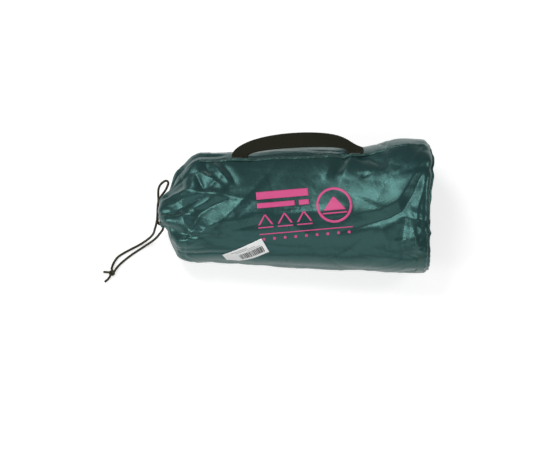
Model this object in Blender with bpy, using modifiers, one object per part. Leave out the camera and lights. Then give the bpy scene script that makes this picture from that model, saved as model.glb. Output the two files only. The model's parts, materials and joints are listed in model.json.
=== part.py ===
"""A camping tarp packed in its drawstring stuff sack, lying on its broad side.

The sack's length runs along X, with the round base at +X and the gathered mouth at -X.
Z = 0 is the ground under the sack. All lengths are in metres and all angles in degrees.
"""

import math

import bmesh
import bpy
from mathutils import Matrix, Vector

# Clearance between pieces that touch
GAP = 0.0003

# Sack tube: a flattened section that widens towards the base
SACK_WALL = 0.0008
BASE_SEAM_X = 0.174
SHOULDER_X = -0.128
SHOULDER_WIDTH = 0.148
SHOULDER_HEIGHT = 0.097
BASE_TAPER_WIDTH = 0.175
BASE_TAPER_HEIGHT = 0.115
SWELL_WIDTH = 0.010
SWELL_HEIGHT = 0.003
SWELL_START_X = 0.085
SWELL_FULL_X = 0.150
BASE_CORNER_RADIUS = 0.0045
FLAT_BOTTOM_SHARE = 1.12
SECTION_SQUARENESS = 2.12
SWELL_RINGS = 7
TAPER_RINGS = 14
# Points round a section, closer together on the side that has folds
FOLDED_SIDE = (48.0, 208.0)
FOLDED_STEPS = 26
PLAIN_STEPS = 24
CORNER_TURNS = (72.0, 48.0, 24.0, 0.0)

# Gathered mouth: the tube's end drawn together in pleats round a small hole
CAP_DEPTH = 0.044
CAP_ROUNDNESS = 1.15
MOUTH_Y = -0.010
MOUTH_Z = 0.045
NECK_RADIUS = 0.0125
PLEATS = 12
PLEAT_DEPTH = 0.0045
PLEAT_SHARE = 0.17
CAP_RINGS = 8

# Main folds of the sack's cloth: a height, a reach to either side, and a route of (x, angle) places
FOLDS = (
    # a raised facet at the base end, the valley under it and the ridge that follows
    (0.0036, 0.020, ((0.163, 70.0), (0.147, 86.0), (0.131, 96.0), (0.107, 103.0), (0.075, 106.0))),
    (-0.0042, 0.009, ((0.167, 79.0), (0.152, 94.0), (0.137, 106.0), (0.119, 113.0), (0.088, 120.0),
                      (0.059, 126.0))),
    (0.0026, 0.010, ((0.161, 99.0), (0.145, 113.0), (0.117, 125.0), (0.088, 136.0))),
    # a hollow and a pucker beside the handle
    (-0.0034, 0.009, ((0.080, 60.0), (0.096, 61.0), (0.115, 70.0))),
    (-0.0036, 0.007, ((0.060, 60.0), (0.051, 72.0))),
    # long folds from the gathered mouth
    (-0.0030, 0.007, ((-0.150, 102.0), (-0.123, 89.0))),
    (0.0030, 0.008, ((-0.150, 111.0), (-0.120, 97.0), (-0.099, 89.0))),
    (-0.0040, 0.008, ((-0.139, 127.0), (-0.127, 109.0), (-0.111, 100.0), (-0.088, 93.0))),
    (0.0034, 0.008, ((-0.128, 136.0), (-0.116, 122.0), (-0.093, 114.0))),
    # slow shapes along the middle
    (-0.0030, 0.017, ((-0.075, 64.0), (-0.035, 68.0), (0.005, 72.0), (0.048, 72.0))),
    (0.0024, 0.017, ((-0.077, 105.0), (-0.037, 109.0), (0.019, 107.0), (0.072, 101.0))),
    # folds that fall to the ground at the base end
    (0.0020, 0.009, ((0.157, 109.0), (0.155, 133.0), (0.157, 152.0))),
    (-0.0018, 0.008, ((0.141, 111.0), (0.136, 131.0), (0.140, 155.0))),
)
# Length of cloth to a radian round the sack, for distances between folds
FOLD_ARC = 0.074
# The folds die away before the side seam and the underside, and before the sack's two ends
FOLD_ANGLES = (50.0, 58.0, 188.0, 204.0)
FOLD_ENDS = (-0.168, -0.148, 0.148, 0.1565)
# Cloth under the handle's folded-over place has hollows only
HANDLE_LANDING_X = 0.106
HANDLE_LANDING_ANGLE = 80.0
HANDLE_LANDING_EDGE_X = 0.012
HANDLE_LANDING_EDGE_ANGLE = 12.0

# Drawcord hem: a fabric tunnel round the mouth, open at one slit
HEM_RADIUS = 0.0108
HEM_LENGTH = 0.0096
HEM_THICKNESS = 0.0058
HEM_PLEAT_BULGE = 0.0026
HEM_WALL = 0.0007
SLIT_ANGLE = 200.0
SLIT_OPENING = 46.0

# Drawcord
CORD_DIAMETER = 0.0032
CORD_SPACING = 0.0065
CORD_LEAD = 0.0026
KNOT_LENGTH = 0.0105
KNOT_WIDTH = 0.0086

# Base panel and the tape over the raw edges of its seam
BASE_DOME = 0.0075
BASE_RING_SHARES = (1.0, 0.95, 0.82, 0.6, 0.32)
SEAM_TAPE_WIDTH = 0.009
SEAM_TAPE_THICKNESS = 0.0008
SEAM_TAPE_INSET_X = 0.008

# Side seam ridge along the upper back of the sack
SEAM_ANGLE = 46.5
SEAM_RIDGE_WIDTH = 0.005
SEAM_RIDGE_HEIGHT = 0.0014
SEAM_RIDGE_STEPS = 54
TAB_COVER_EDGE = 0.004

# Webbing handle: a flat D sewn under the side seam at both ends
WEBBING_THICKNESS = 0.0016
HANDLE_ANGLE = 38.0
HANDLE_INNER_SPAN = 0.132
HANDLE_OUTER_SPAN = 0.176
HANDLE_INNER_REACH = 0.0093
HANDLE_OUTER_REACH = 0.0338
HANDLE_CENTRE_X = 0.002
HANDLE_REST_TILT = -9.0
HANDLE_ARCH = 0.0025
STRAP_START = 0.0004
STRAP_STEPS = 30
# The webbing bends in the space between its sewn ends and its free part
HINGE_CLEARANCE = 0.0022
HANDLE_TAB_LENGTH = 0.0105

# Paper label stuck across the lower front of the sack
LABEL_LENGTH = 0.058
LABEL_WIDTH = 0.022
LABEL_THICKNESS = 0.0004
LABEL_X = -0.0663
LABEL_ANGLE = 158.8
LABEL_TURN = -27.7
LABEL_STEPS_ALONG = 9
LABEL_STEPS_ACROSS = 4

# Rolled tarp: the folded sheet wound as a flattened spiral
ROLL_LENGTH = 0.282
ROLL_START_X = -0.110
ROLL_Y = 0.014
ROLL_Z = 0.0455
ROLL_FOLD_THICKNESS = 0.0052
ROLL_TURN_PITCH = 0.0060
ROLL_TURNS = 5.5
ROLL_CORE_RADIUS = 0.0050
ROLL_CORE_FLATNESS = 0.012
ROLL_POINTS_PER_TURN = 22
ROLL_END_ANGLE = 80.0

# Webbing loops on the tarp's corners, at the outer end of the roll
LOOP_LENGTH = 0.030
LOOP_WIDTH = 0.020
LOOP_THICKNESS = 0.0018
LOOP_EYE_LENGTH = 0.012
LOOP_EYE_WIDTH = 0.010
LOOP_EYE_MARGIN = 0.004
LOOP_PAIR_PITCH = 0.027
LOOP_END_MARGIN = 0.016

# Peg pouch and wire pegs
PEG_COUNT = 8
PEG_DIAMETER = 0.004
PEG_LENGTH = 0.180
PEG_PITCH = 0.0050
PEG_HOOK_RADIUS = 0.006
PEG_POINT_LENGTH = 0.010
POUCH_WALL = 0.0008
POUCH_SPACE = 0.0017
POUCH_CORNER = 0.007
POUCH_START_X = -0.092
POUCH_Y = -0.0555
POUCH_Z = 0.049
POUCH_END_SPACE = 0.006

# Guy lines: each a hank with one free run that carries its slider
GUY_LINE_COUNT = 4
GUY_LINE_DIAMETER = 0.0020
HANK_LENGTH = 0.076
HANK_WIDTH = 0.018
HANK_WAIST = 0.012
HANK_THICKNESS = 0.0125
HANK_PITCH = 0.0150
HANK_X = -0.141
HANK_Z = 0.0455
RUN_OFFSET = 0.0056

# Line sliders
SLIDER_LENGTH = 0.016
SLIDER_WIDTH = 0.008
SLIDER_THICKNESS = 0.003
SLIDER_HOLE = 0.0030
SLIDER_HOLE_INSET = 0.0033

# Drawcord routes, from the hem's slit outwards, chosen by hand
UPPER_ROUTE = (
    (-0.1800, -0.0197, 0.0404), (-0.1832, -0.0198, 0.0428), (-0.1848, -0.0178, 0.0464),
    (-0.1847, -0.0135, 0.0487),
    (-0.1845, -0.0073, 0.0500), (-0.1844, 0.0000, 0.0510), (-0.1842, 0.0097, 0.0518),
    (-0.1846, 0.0180, 0.0523), (-0.1846, 0.0256, 0.0526), (-0.1826, 0.0320, 0.0530),
    (-0.1780, 0.0365, 0.0540), (-0.1735, 0.0372, 0.0560), (-0.1712, 0.0335, 0.0576),
    (-0.1724, 0.0280, 0.0580), (-0.1748, 0.0226, 0.0578), (-0.1784, 0.0175, 0.0572),
    (-0.1820, 0.0120, 0.0562), (-0.1841, 0.0060, 0.0554), (-0.1847, -0.0010, 0.0548),
    (-0.1848, -0.0090, 0.0540), (-0.1852, -0.0170, 0.0526), (-0.1868, -0.0238, 0.0488),
    (-0.1888, -0.0268, 0.0420), (-0.1904, -0.0272, 0.0330), (-0.1934, -0.0275, 0.0215),
    (-0.1988, -0.0288, 0.0112), (-0.2060, -0.0316, 0.0044), (-0.2136, -0.0356, 0.0019),
    (-0.2240, -0.0414, 0.0018), (-0.2330, -0.0466, 0.0018), (-0.2410, -0.0522, 0.0018),
    (-0.2456, -0.0586, 0.0018), (-0.2482, -0.0650, 0.0024), (-0.2492, -0.0702, 0.0038),
)
LOWER_ROUTE = (
    (-0.1775, -0.0236, 0.0414), (-0.1786, -0.0264, 0.0388), (-0.1808, -0.0280, 0.0346),
    (-0.1842, -0.0290, 0.0268),
    (-0.1880, -0.0300, 0.0182), (-0.1938, -0.0320, 0.0102), (-0.2014, -0.0352, 0.0044),
    (-0.2100, -0.0402, 0.0019), (-0.2216, -0.0484, 0.0018), (-0.2316, -0.0566, 0.0018),
    (-0.2390, -0.0640, 0.0024), (-0.2434, -0.0704, 0.0036),
)
KNOT_PLACE = (-0.2487, -0.0762, 0.0042)
KNOT_HEADING = -20.0
LONG_END_ROUTE = ((-0.2512, -0.0815, 0.0036), (-0.2540, -0.0846, 0.0020), (-0.2580, -0.0880, 0.0017))
SHORT_END_ROUTE = ((-0.2548, -0.0748, 0.0036), (-0.2572, -0.0742, 0.0022), (-0.2600, -0.0740, 0.0018))

COLOURS = {
    "taffeta": ((0.028, 0.085, 0.088), 0.42, 0.0),
    "taffeta_edge": ((0.040, 0.110, 0.110), 0.50, 0.0),
    "webbing": ((0.017, 0.015, 0.008), 0.80, 0.0),
    "cord": ((0.027, 0.024, 0.011), 0.75, 0.0),
    "label": ((0.800, 0.850, 0.840), 0.45, 0.0),
    "tarp": ((0.030, 0.092, 0.094), 0.50, 0.0),
    "steel": ((0.600, 0.610, 0.620), 0.30, 1.0),
    "plastic": ((0.020, 0.020, 0.022), 0.40, 0.0),
}


def lerp(low, high, share):
    return low + (high - low) * share


def smoothstep(start, end, value):
    share = min(max((value - start) / (end - start), 0.0), 1.0)
    return share * share * (3.0 - 2.0 * share)


def clear_scene():
    for item in list(bpy.data.objects):
        bpy.data.objects.remove(item)


class Builder:
    """Makes objects in one collection, under one parent, each with its own material."""

    def __init__(self, name, origin):
        self.collection = bpy.data.collections.new(name)
        bpy.context.scene.collection.children.link(self.collection)
        self.root = bpy.data.objects.new(name + "_origin", None)
        self.root.location = origin
        self.collection.objects.link(self.root)

    def finish(self, name, data, kind, matrix=None):
        colour, roughness, metallic = COLOURS[kind]
        material = bpy.data.materials.new(name + "_" + kind)
        material.use_nodes = True
        shader = material.node_tree.nodes["Principled BSDF"]
        shader.inputs["Base Color"].default_value = (*colour, 1.0)
        shader.inputs["Roughness"].default_value = roughness
        shader.inputs["Metallic"].default_value = metallic
        data.materials.append(material)
        item = bpy.data.objects.new(name, data)
        item.parent = self.root
        if matrix is not None:
            item.matrix_local = matrix
        self.collection.objects.link(item)
        return item

    def loft(self, name, rings, kind, closed=True, capped=False, joined=False, pole=None, matrix=None):
        """A surface through rings of equal point counts.

        Its ends can be capped, joined to each other, or drawn to a pole after the last ring.
        """
        mesh = bpy.data.meshes.new(name)
        work = bmesh.new()
        grid = [[work.verts.new(point) for point in ring] for ring in rings]
        count = len(rings[0])
        steps = count if closed else count - 1
        followers = grid[1:] + (grid[:1] if joined else [])
        for near, far in zip(grid, followers):
            for step in range(steps):
                after = (step + 1) % count
                work.faces.new((near[step], far[step], far[after], near[after]))
        if pole is not None:
            tip = work.verts.new(pole)
            last = grid[-1]
            for step in range(count):
                work.faces.new((last[step], tip, last[(step + 1) % count]))
        if capped:
            work.faces.new(grid[0])
            work.faces.new(list(reversed(grid[-1])))
        if capped or joined:
            bmesh.ops.recalc_face_normals(work, faces=work.faces)
        work.to_mesh(mesh)
        work.free()
        mesh.shade_smooth()
        mesh.set_sharp_from_angle(angle=math.radians(50.0))
        return self.finish(name, mesh, kind, matrix)

    def shell(self, name, rings, wall, kind, **options):
        """A loft thickened towards its inner side."""
        item = self.loft(name, rings, kind, **options)
        modifier = item.modifiers.new("Wall", "SOLIDIFY")
        modifier.thickness = wall
        modifier.offset = -1.0
        return item

    def tube(self, name, points, diameter, kind, radii=None):
        """A round cord or wire along a polyline."""
        curve = bpy.data.curves.new(name, "CURVE")
        curve.dimensions = "3D"
        curve.bevel_depth = diameter / 2
        curve.bevel_resolution = 2
        curve.use_fill_caps = True
        spline = curve.splines.new("POLY")
        spline.points.add(len(points) - 1)
        for index, point in enumerate(points):
            spline.points[index].co = (*point, 1.0)
            spline.points[index].radius = radii[index] if radii else 1.0
        return self.finish(name, curve, kind)

    def plate(self, name, outlines, thickness, kind, matrix):
        """A flat sheet cut to outlines; the second and later outlines are holes."""
        curve = bpy.data.curves.new(name, "CURVE")
        curve.dimensions = "2D"
        curve.fill_mode = "BOTH"
        curve.extrude = thickness / 2
        for outline in outlines:
            spline = curve.splines.new("POLY")
            spline.use_cyclic_u = True
            spline.points.add(len(outline) - 1)
            for index, (across, along) in enumerate(outline):
                spline.points[index].co = (across, along, 0.0, 1.0)
        return self.finish(name, curve, kind, matrix)


def smooth_route(points, spacing):
    """Points a set distance apart on a smooth curve through a route's own points."""
    route = [Vector(point) for point in points]
    route = [route[0] * 2 - route[1], *route, route[-1] * 2 - route[-2]]
    fine = []
    for before, start, end, after in zip(route, route[1:], route[2:], route[3:]):
        for step in range(20):
            share = step / 20
            fine.append(0.5 * (2 * start + (end - before) * share
                               + (2 * before - 5 * start + 4 * end - after) * share ** 2
                               + (3 * start - before - 3 * end + after) * share ** 3))
    fine.append(route[-2])
    lengths = [0.0]
    for start, end in zip(fine, fine[1:]):
        lengths.append(lengths[-1] + (end - start).length)
    count = max(round(lengths[-1] / spacing), 2)
    evenly = []
    index = 0
    for step in range(count + 1):
        target = lengths[-1] * step / count
        while index < len(fine) - 2 and lengths[index + 1] < target:
            index += 1
        span = lengths[index + 1] - lengths[index]
        evenly.append(fine[index].lerp(fine[index + 1], (target - lengths[index]) / span))
    return evenly


def rounded_outline(half_across, half_along, corner, steps=3):
    """Corner-rounded rectangle, anticlockwise."""
    outline = []
    for quarter, (side_x, side_y) in enumerate(((1, 1), (-1, 1), (-1, -1), (1, -1))):
        for step in range(steps + 1):
            angle = math.radians(90.0 * (quarter + step / steps))
            outline.append((side_x * (half_across - corner) + corner * math.cos(angle),
                            side_y * (half_along - corner) + corner * math.sin(angle)))
    return outline


def circle_outline(radius, centre=(0.0, 0.0), points=10):
    turn = 2 * math.pi / points
    return [(centre[0] + radius * math.cos(turn * step), centre[1] + radius * math.sin(turn * step))
            for step in range(points)]


def distance_to_route(x, arc, route):
    """Distance over the cloth from a place to the nearest stretch of a route."""
    nearest = math.inf
    for start, end in zip(route, route[1:]):
        origin = Vector((start[0], math.radians(start[1]) * FOLD_ARC))
        step = Vector((end[0], math.radians(end[1]) * FOLD_ARC)) - origin
        offset = Vector((x, arc)) - origin
        share = min(max(offset.dot(step) / step.length_squared, 0.0), 1.0)
        nearest = min(nearest, (offset - step * share).length)
    return nearest


def fold_lift(x, angle):
    """How far the main folds raise the cloth; hollows are negative."""
    turned = math.degrees(angle) % 360.0
    arc = math.radians(turned) * FOLD_ARC
    lift = sum(height * math.exp(-(distance_to_route(x, arc, route) / reach) ** 2)
               for height, reach, route in FOLDS)
    off_handle = smoothstep(HANDLE_LANDING_X - HANDLE_LANDING_EDGE_X, HANDLE_LANDING_X,
                            abs(x - HANDLE_CENTRE_X))
    past_handle = smoothstep(HANDLE_LANDING_ANGLE - HANDLE_LANDING_EDGE_ANGLE, HANDLE_LANDING_ANGLE,
                             turned)
    if lift > 0:
        lift *= max(off_handle, past_handle)
    start, full, falling, end = FOLD_ANGLES
    lift *= smoothstep(start, full, turned) * (1.0 - smoothstep(falling, end, turned))
    start, full, falling, end = FOLD_ENDS
    return lift * smoothstep(start, full, x) * (1.0 - smoothstep(falling, end, x))


def section_angles():
    """The angles of the points round a section."""
    start, end = FOLDED_SIDE
    folded = [lerp(start, end, step / FOLDED_STEPS) for step in range(FOLDED_STEPS)]
    plain = [lerp(end, start + 360.0, step / PLAIN_STEPS) for step in range(PLAIN_STEPS)]
    return [math.radians(angle) for angle in folded + plain]


class Section:
    """One cross-section of the sack's outer surface."""

    def __init__(self, x, half_width, rise, drop, centre_y, centre_z, pleat):
        self.x = x
        self.half_width = half_width
        self.rise = rise
        self.drop = drop
        self.centre_y = centre_y
        self.centre_z = centre_z
        self.pleat = pleat

    def point(self, angle, inset=0.0):
        """The surface at an angle from +Y towards +Z; the underside is pressed flat at Z = 0."""
        power = 2.0 / SECTION_SQUARENESS
        across, up = math.cos(angle), math.sin(angle)
        across = math.copysign(abs(across) ** power, across)
        up = math.copysign(abs(up) ** power, up)
        wave = self.pleat * math.cos(PLEATS * angle) + fold_lift(self.x, angle)
        height = self.rise if up > 0 else self.drop
        return Vector((self.x, self.centre_y + (self.half_width + wave - inset) * across,
                       max(self.centre_z + (height + wave - inset) * up, inset)))

    def ring(self, inset=0.0):
        return [self.point(angle, inset) for angle in section_angles()]


def tube_section(x):
    """The sack's section between the shoulder and the base seam."""
    share = (x - SHOULDER_X) / (BASE_SEAM_X - SHOULDER_X)
    swell = smoothstep(SWELL_START_X, SWELL_FULL_X, x)
    into_corner = max(x - BASE_SEAM_X + BASE_CORNER_RADIUS, 0.0)
    drawn_in = BASE_CORNER_RADIUS - math.sqrt(max(BASE_CORNER_RADIUS ** 2 - into_corner ** 2, 0.0))
    half_width = (lerp(SHOULDER_WIDTH, BASE_TAPER_WIDTH, share) + SWELL_WIDTH * swell) / 2
    half_height = (lerp(SHOULDER_HEIGHT, BASE_TAPER_HEIGHT, share) + SWELL_HEIGHT * swell) / 2
    return Section(x, half_width - drawn_in, half_height - drawn_in,
                   half_height * FLAT_BOTTOM_SHARE - drawn_in, 0.0, half_height, 0.0)


def cap_section(angle):
    """The sack's section where the drawcord gathers it, from 0 at the shoulder to 90 at the neck."""
    shoulder = tube_section(SHOULDER_X)
    drawn = math.cos(math.radians(angle)) ** CAP_ROUNDNESS
    half_width = lerp(NECK_RADIUS, shoulder.half_width, drawn)
    pleat = min(PLEAT_DEPTH * (1.0 - drawn) ** 0.7, half_width * PLEAT_SHARE)
    return Section(SHOULDER_X - CAP_DEPTH * math.sin(math.radians(angle)), half_width,
                   lerp(NECK_RADIUS, shoulder.rise, drawn), lerp(NECK_RADIUS, shoulder.drop, drawn),
                   lerp(MOUTH_Y, 0.0, drawn), lerp(MOUTH_Z, shoulder.centre_z, drawn), pleat)


def surface_frame(x, angle):
    """A point on the tube with its outward normal and its direction of growing angle."""
    small = 0.0005
    place = tube_section(x).point(angle)
    along = tube_section(x + small).point(angle) - tube_section(x - small).point(angle)
    around = tube_section(x).point(angle + small) - tube_section(x).point(angle - small)
    return place, around.cross(along).normalized(), around.normalized()


def angle_after(x, angle, distance):
    """The angle reached by going a distance round the tube from another angle."""
    steps = 8
    small = 0.0005
    for _ in range(steps):
        section = tube_section(x)
        rate = (section.point(angle + small) - section.point(angle - small)).length / (2 * small)
        angle += distance / steps / rate
    return angle


def corner_x(turn):
    """Where the rounded edge at the base seam has turned by an angle."""
    return BASE_SEAM_X - BASE_CORNER_RADIUS * (1.0 - math.sin(math.radians(turn)))


def hem_start_x():
    return cap_section(90.0).x - GAP


def hinge_line():
    """Middle of the handle's hinge, with its axis, reach and face directions."""
    lift = GAP + WEBBING_THICKNESS / 2
    ends = []
    for side in (-1, 1):
        x = HANDLE_CENTRE_X + side * (HANDLE_INNER_SPAN + HANDLE_OUTER_SPAN) / 4
        place, normal, _ = surface_frame(x, math.radians(HANDLE_ANGLE))
        ends.append(place + normal * lift)
    axis = (ends[1] - ends[0]).normalized()
    tilt = math.radians(HANDLE_REST_TILT)
    reach = Vector((0.0, math.cos(tilt), math.sin(tilt)))
    reach = (reach - axis * reach.dot(axis)).normalized()
    return (ends[0] + ends[1]) / 2, axis, reach, axis.cross(reach)


def strap_edges(angle):
    """The strap's inner and outer edge points, half round the D, in the hinge's own axes."""
    rise = math.sin(angle)
    arch = HANDLE_ARCH * smoothstep(0.15, 0.9, rise)
    inner = Vector((HANDLE_INNER_SPAN / 2 * math.cos(angle), STRAP_START + HANDLE_INNER_REACH * rise, arch))
    outer = Vector((HANDLE_OUTER_SPAN / 2 * math.cos(angle), STRAP_START + HANDLE_OUTER_REACH * rise, arch))
    return inner, outer


def box_centre():
    """The middle of the packed sack's footprint, cords left out."""
    base_x = BASE_SEAM_X + GAP + SACK_WALL + BASE_DOME
    mouth_x = hem_start_x() - HEM_LENGTH
    middle, _, reach, face = hinge_line()
    outer = strap_edges(math.pi / 2)[1]
    back_y = (middle + reach * outer.y + face * (outer.z + WEBBING_THICKNESS * 0.2)).y
    widest = tube_section(corner_x(0.0)).half_width
    return Vector(((base_x + mouth_x) / 2, (max(back_y, widest) - widest) / 2, 0.0))


def make_sack_body(build):
    stations = [corner_x(turn) for turn in CORNER_TURNS]
    stations += [lerp(corner_x(0.0), SWELL_START_X, step / SWELL_RINGS) for step in range(1, SWELL_RINGS + 1)]
    stations += [lerp(SWELL_START_X, SHOULDER_X, step / TAPER_RINGS) for step in range(1, TAPER_RINGS)]
    rings = [tube_section(x).ring() for x in stations]
    for step in range(CAP_RINGS + 1):
        share = step / CAP_RINGS
        rings.append(cap_section(90.0 * share * (1.3 - 0.3 * share)).ring())
    return build.shell("sack_body", rings, SACK_WALL, "taffeta")


def make_base_panel(build):
    rim = tube_section(corner_x(CORNER_TURNS[0]))
    start_x = BASE_SEAM_X + GAP + SACK_WALL
    centre = Vector((0.0, rim.centre_y, rim.centre_z))
    rings = []
    for share in BASE_RING_SHARES:
        ring = []
        for point in rim.ring():
            flat = centre + (Vector((0.0, point.y, point.z)) - centre) * share
            ring.append(Vector((start_x + BASE_DOME * (1.0 - share ** 2), flat.y, flat.z)))
        rings.append(ring)
    tip = centre + Vector((start_x + BASE_DOME, 0.0, 0.0))
    rings = [list(reversed(ring)) for ring in rings]
    return build.shell("base_panel", rings, SACK_WALL, "taffeta", pole=tip)


def make_base_seam_tape(build):
    inset = SACK_WALL + GAP * 1.5
    far_x = BASE_SEAM_X - SEAM_TAPE_INSET_X
    near_x = far_x - SEAM_TAPE_WIDTH
    corners = ((far_x, inset), (near_x, inset), (near_x, inset + SEAM_TAPE_THICKNESS),
               (far_x, inset + SEAM_TAPE_THICKNESS))
    rings = [tube_section(x).ring(depth) for x, depth in corners]
    return build.loft("base_seam_tape", rings, "taffeta_edge", joined=True)


def tab_cover(x):
    """How far the side seam rises over the handle's sewn ends, from 0 to 1."""
    edge = TAB_COVER_EDGE
    covers = []
    for side in (-1, 1):
        ends = sorted(HANDLE_CENTRE_X + side * span / 2 for span in (HANDLE_INNER_SPAN, HANDLE_OUTER_SPAN))
        low, high = ends
        rise = smoothstep(low - 2 * edge, low - edge / 2, x)
        fall = smoothstep(high + edge / 2, high + 2 * edge, x)
        covers.append(rise * (1.0 - fall))
    return max(covers)


def make_side_seam(build):
    start_x, end_x = SHOULDER_X, BASE_SEAM_X - BASE_CORNER_RADIUS
    rings = []
    for step in range(SEAM_RIDGE_STEPS + 1):
        x = lerp(end_x, start_x, step / SEAM_RIDGE_STEPS)
        place, normal, around = surface_frame(x, math.radians(SEAM_ANGLE))
        low = GAP * 1.3 + (WEBBING_THICKNESS + GAP) * tab_cover(x)
        half = SEAM_RIDGE_WIDTH / 2
        profile = ((-half, low), (-half * 0.7, low + SEAM_RIDGE_HEIGHT * 0.8), (0.0, low + SEAM_RIDGE_HEIGHT),
                   (half * 0.7, low + SEAM_RIDGE_HEIGHT * 0.8), (half, low))
        rings.append([place + around * across + normal * height for across, height in profile])
    return build.loft("side_seam_ridge", rings, "taffeta_edge", capped=True)


def strap_section(inner, outer, face):
    """A webbing section between two edge points, with softened corners."""
    half = WEBBING_THICKNESS / 2
    width = outer - inner
    soft = width.normalized() * half * 0.6
    return [inner + face * half * 0.4, inner + soft + face * half, outer - soft + face * half,
            outer + face * half * 0.4, outer - face * half * 0.4, outer - soft - face * half,
            inner + soft - face * half, inner - face * half * 0.4]


def make_handle_strap(build):
    """The part of the handle that swings, modelled about its own hinge line."""
    middle, axis, reach, face = hinge_line()
    place = Matrix((axis, reach, face)).transposed().to_4x4()
    place.translation = middle
    up = Vector((0.0, 0.0, 1.0))
    edges = [strap_edges(math.pi * step / STRAP_STEPS) for step in range(STRAP_STEPS + 1)]
    rings = [strap_section(inner, outer, up) for inner, outer in edges]
    return build.loft("handle_strap", rings, "webbing", capped=True, matrix=place)


def make_handle_tabs(build):
    """The strap's two sewn ends, lying on the sack and passing under the side seam."""
    middle, axis, _, _ = hinge_line()
    for side, label in ((-1, "left"), (1, "right")):
        rings = []
        near = HANDLE_INNER_SPAN / 2
        far = HANDLE_OUTER_SPAN / 2
        for share in (0.0, 0.25, 0.5, 0.75, 1.0):
            on_axis = middle + axis * side * lerp(near, far, share)
            start = angle_after(on_axis.x, math.radians(HANDLE_ANGLE), HINGE_CLEARANCE)
            ring = []
            backs = []
            for stop in range(4):
                angle = angle_after(on_axis.x, start, HANDLE_TAB_LENGTH * stop / 3)
                place, normal, _ = surface_frame(on_axis.x, angle)
                ring.append(place + normal * (GAP + WEBBING_THICKNESS))
                backs.append(place + normal * GAP)
            rings.append(ring + list(reversed(backs)))
        if side > 0:
            rings.reverse()
        build.loft("handle_end_" + label, rings, "webbing", capped=True)


def make_label(build):
    turn = math.radians(LABEL_TURN)
    rings = []
    for along_step in range(LABEL_STEPS_ALONG + 1):
        along = LABEL_LENGTH * (0.5 - along_step / LABEL_STEPS_ALONG)
        ring = []
        for across_step in range(LABEL_STEPS_ACROSS + 1):
            across = LABEL_WIDTH * (across_step / LABEL_STEPS_ACROSS - 0.5)
            x = LABEL_X + along * math.cos(turn) - across * math.sin(turn)
            round_by = along * math.sin(turn) + across * math.cos(turn)
            angle = angle_after(x, math.radians(LABEL_ANGLE), round_by)
            place, normal, _ = surface_frame(x, angle)
            ring.append(place + normal * (GAP * 1.5 + LABEL_THICKNESS))
        rings.append(ring)
    return build.shell("label", rings, LABEL_THICKNESS, "label", closed=False)


def make_mouth_hem(build):
    """The pleated tunnel round the mouth: an oval tube bent round the hole, open at the slit."""
    steps = 48
    around = 8
    start = SLIT_ANGLE + SLIT_OPENING / 2
    sweep = 360.0 - SLIT_OPENING
    centre_x = hem_start_x() - HEM_LENGTH / 2
    rings = []
    for step in range(steps + 1):
        angle = math.radians(start + sweep * step / steps)
        outward = Vector((0.0, math.cos(angle), math.sin(angle)))
        bulge = HEM_PLEAT_BULGE * (0.5 + 0.5 * math.cos(PLEATS * angle))
        ring = []
        for side in range(around):
            turn = 2 * math.pi * side / around
            radial = math.cos(turn)
            out = HEM_THICKNESS / 2 + (bulge if radial > 0 else 0.0)
            ring.append(Vector((centre_x + HEM_LENGTH / 2 * math.sin(turn), MOUTH_Y, MOUTH_Z))
                        + outward * (HEM_RADIUS + out * radial))
        rings.append(ring)
    return build.shell("mouth_hem", rings, HEM_WALL, "taffeta_edge")


def hem_cord_angles():
    """Where the cord in the hem starts and ends, just inside the slit's two edges."""
    inside = 4.0
    half = SLIT_OPENING / 2 + inside
    return SLIT_ANGLE + half, SLIT_ANGLE + 360.0 - half


def hem_cord_point(angle):
    turn = math.radians(angle)
    return Vector((hem_start_x() - HEM_LENGTH / 2, MOUTH_Y + HEM_RADIUS * math.cos(turn),
                   MOUTH_Z + HEM_RADIUS * math.sin(turn)))


def make_drawcord(build):
    """The cord in the hem, its two free runs, the knot that joins them and the ends past it."""
    run_start, run_end = hem_cord_angles()
    steps = 26
    run = [hem_cord_point(lerp(run_start, run_end, step / steps)) for step in range(steps + 1)]
    build.tube("drawcord_in_hem", run, CORD_DIAMETER, "cord")
    gap_turn = math.degrees(1.5 * GAP / HEM_RADIUS)
    exits = ((run_start - gap_turn, -1), (run_end + gap_turn, 1))
    routes = (("drawcord_upper_run", UPPER_ROUTE), ("drawcord_lower_run", LOWER_ROUTE))
    for (angle, heading), (name, route) in zip(exits, routes):
        leave = hem_cord_point(angle)
        lead = leave + (hem_cord_point(angle + heading) - leave).normalized() * CORD_LEAD
        points = [leave, *smooth_route([lead, *route], CORD_SPACING)]
        build.tube(name, points, CORD_DIAMETER, "cord")
    for name, route in (("drawcord_end_long", LONG_END_ROUTE), ("drawcord_end_short", SHORT_END_ROUTE)):
        build.tube(name, smooth_route(route, CORD_SPACING / 2), CORD_DIAMETER, "cord")
    make_knot(build)


def make_knot(build):
    """The overhand knot that ties both tails together, as a waisted lump flattened on the ground."""
    rings = []
    steps = 8
    for step in range(1, steps):
        angle = math.pi * step / steps
        waist = 1.0 - 0.14 * math.cos(2 * angle) ** 2
        radius = KNOT_WIDTH / 2 * math.sin(angle) ** 0.8 * waist
        ring = []
        for side in range(12):
            turn = 2 * math.pi * side / 12
            ring.append(Vector((KNOT_LENGTH / 2 * math.cos(angle), radius * math.cos(turn),
                                radius * 0.92 * math.sin(turn))))
        rings.append(ring)
    place = Matrix.Translation(KNOT_PLACE) @ Matrix.Rotation(math.radians(KNOT_HEADING), 4, "Z")
    build.loft("drawcord_knot", rings, "cord", capped=True, matrix=place)


def roll_radius(turns):
    return ROLL_CORE_RADIUS + ROLL_TURN_PITCH * turns


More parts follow.
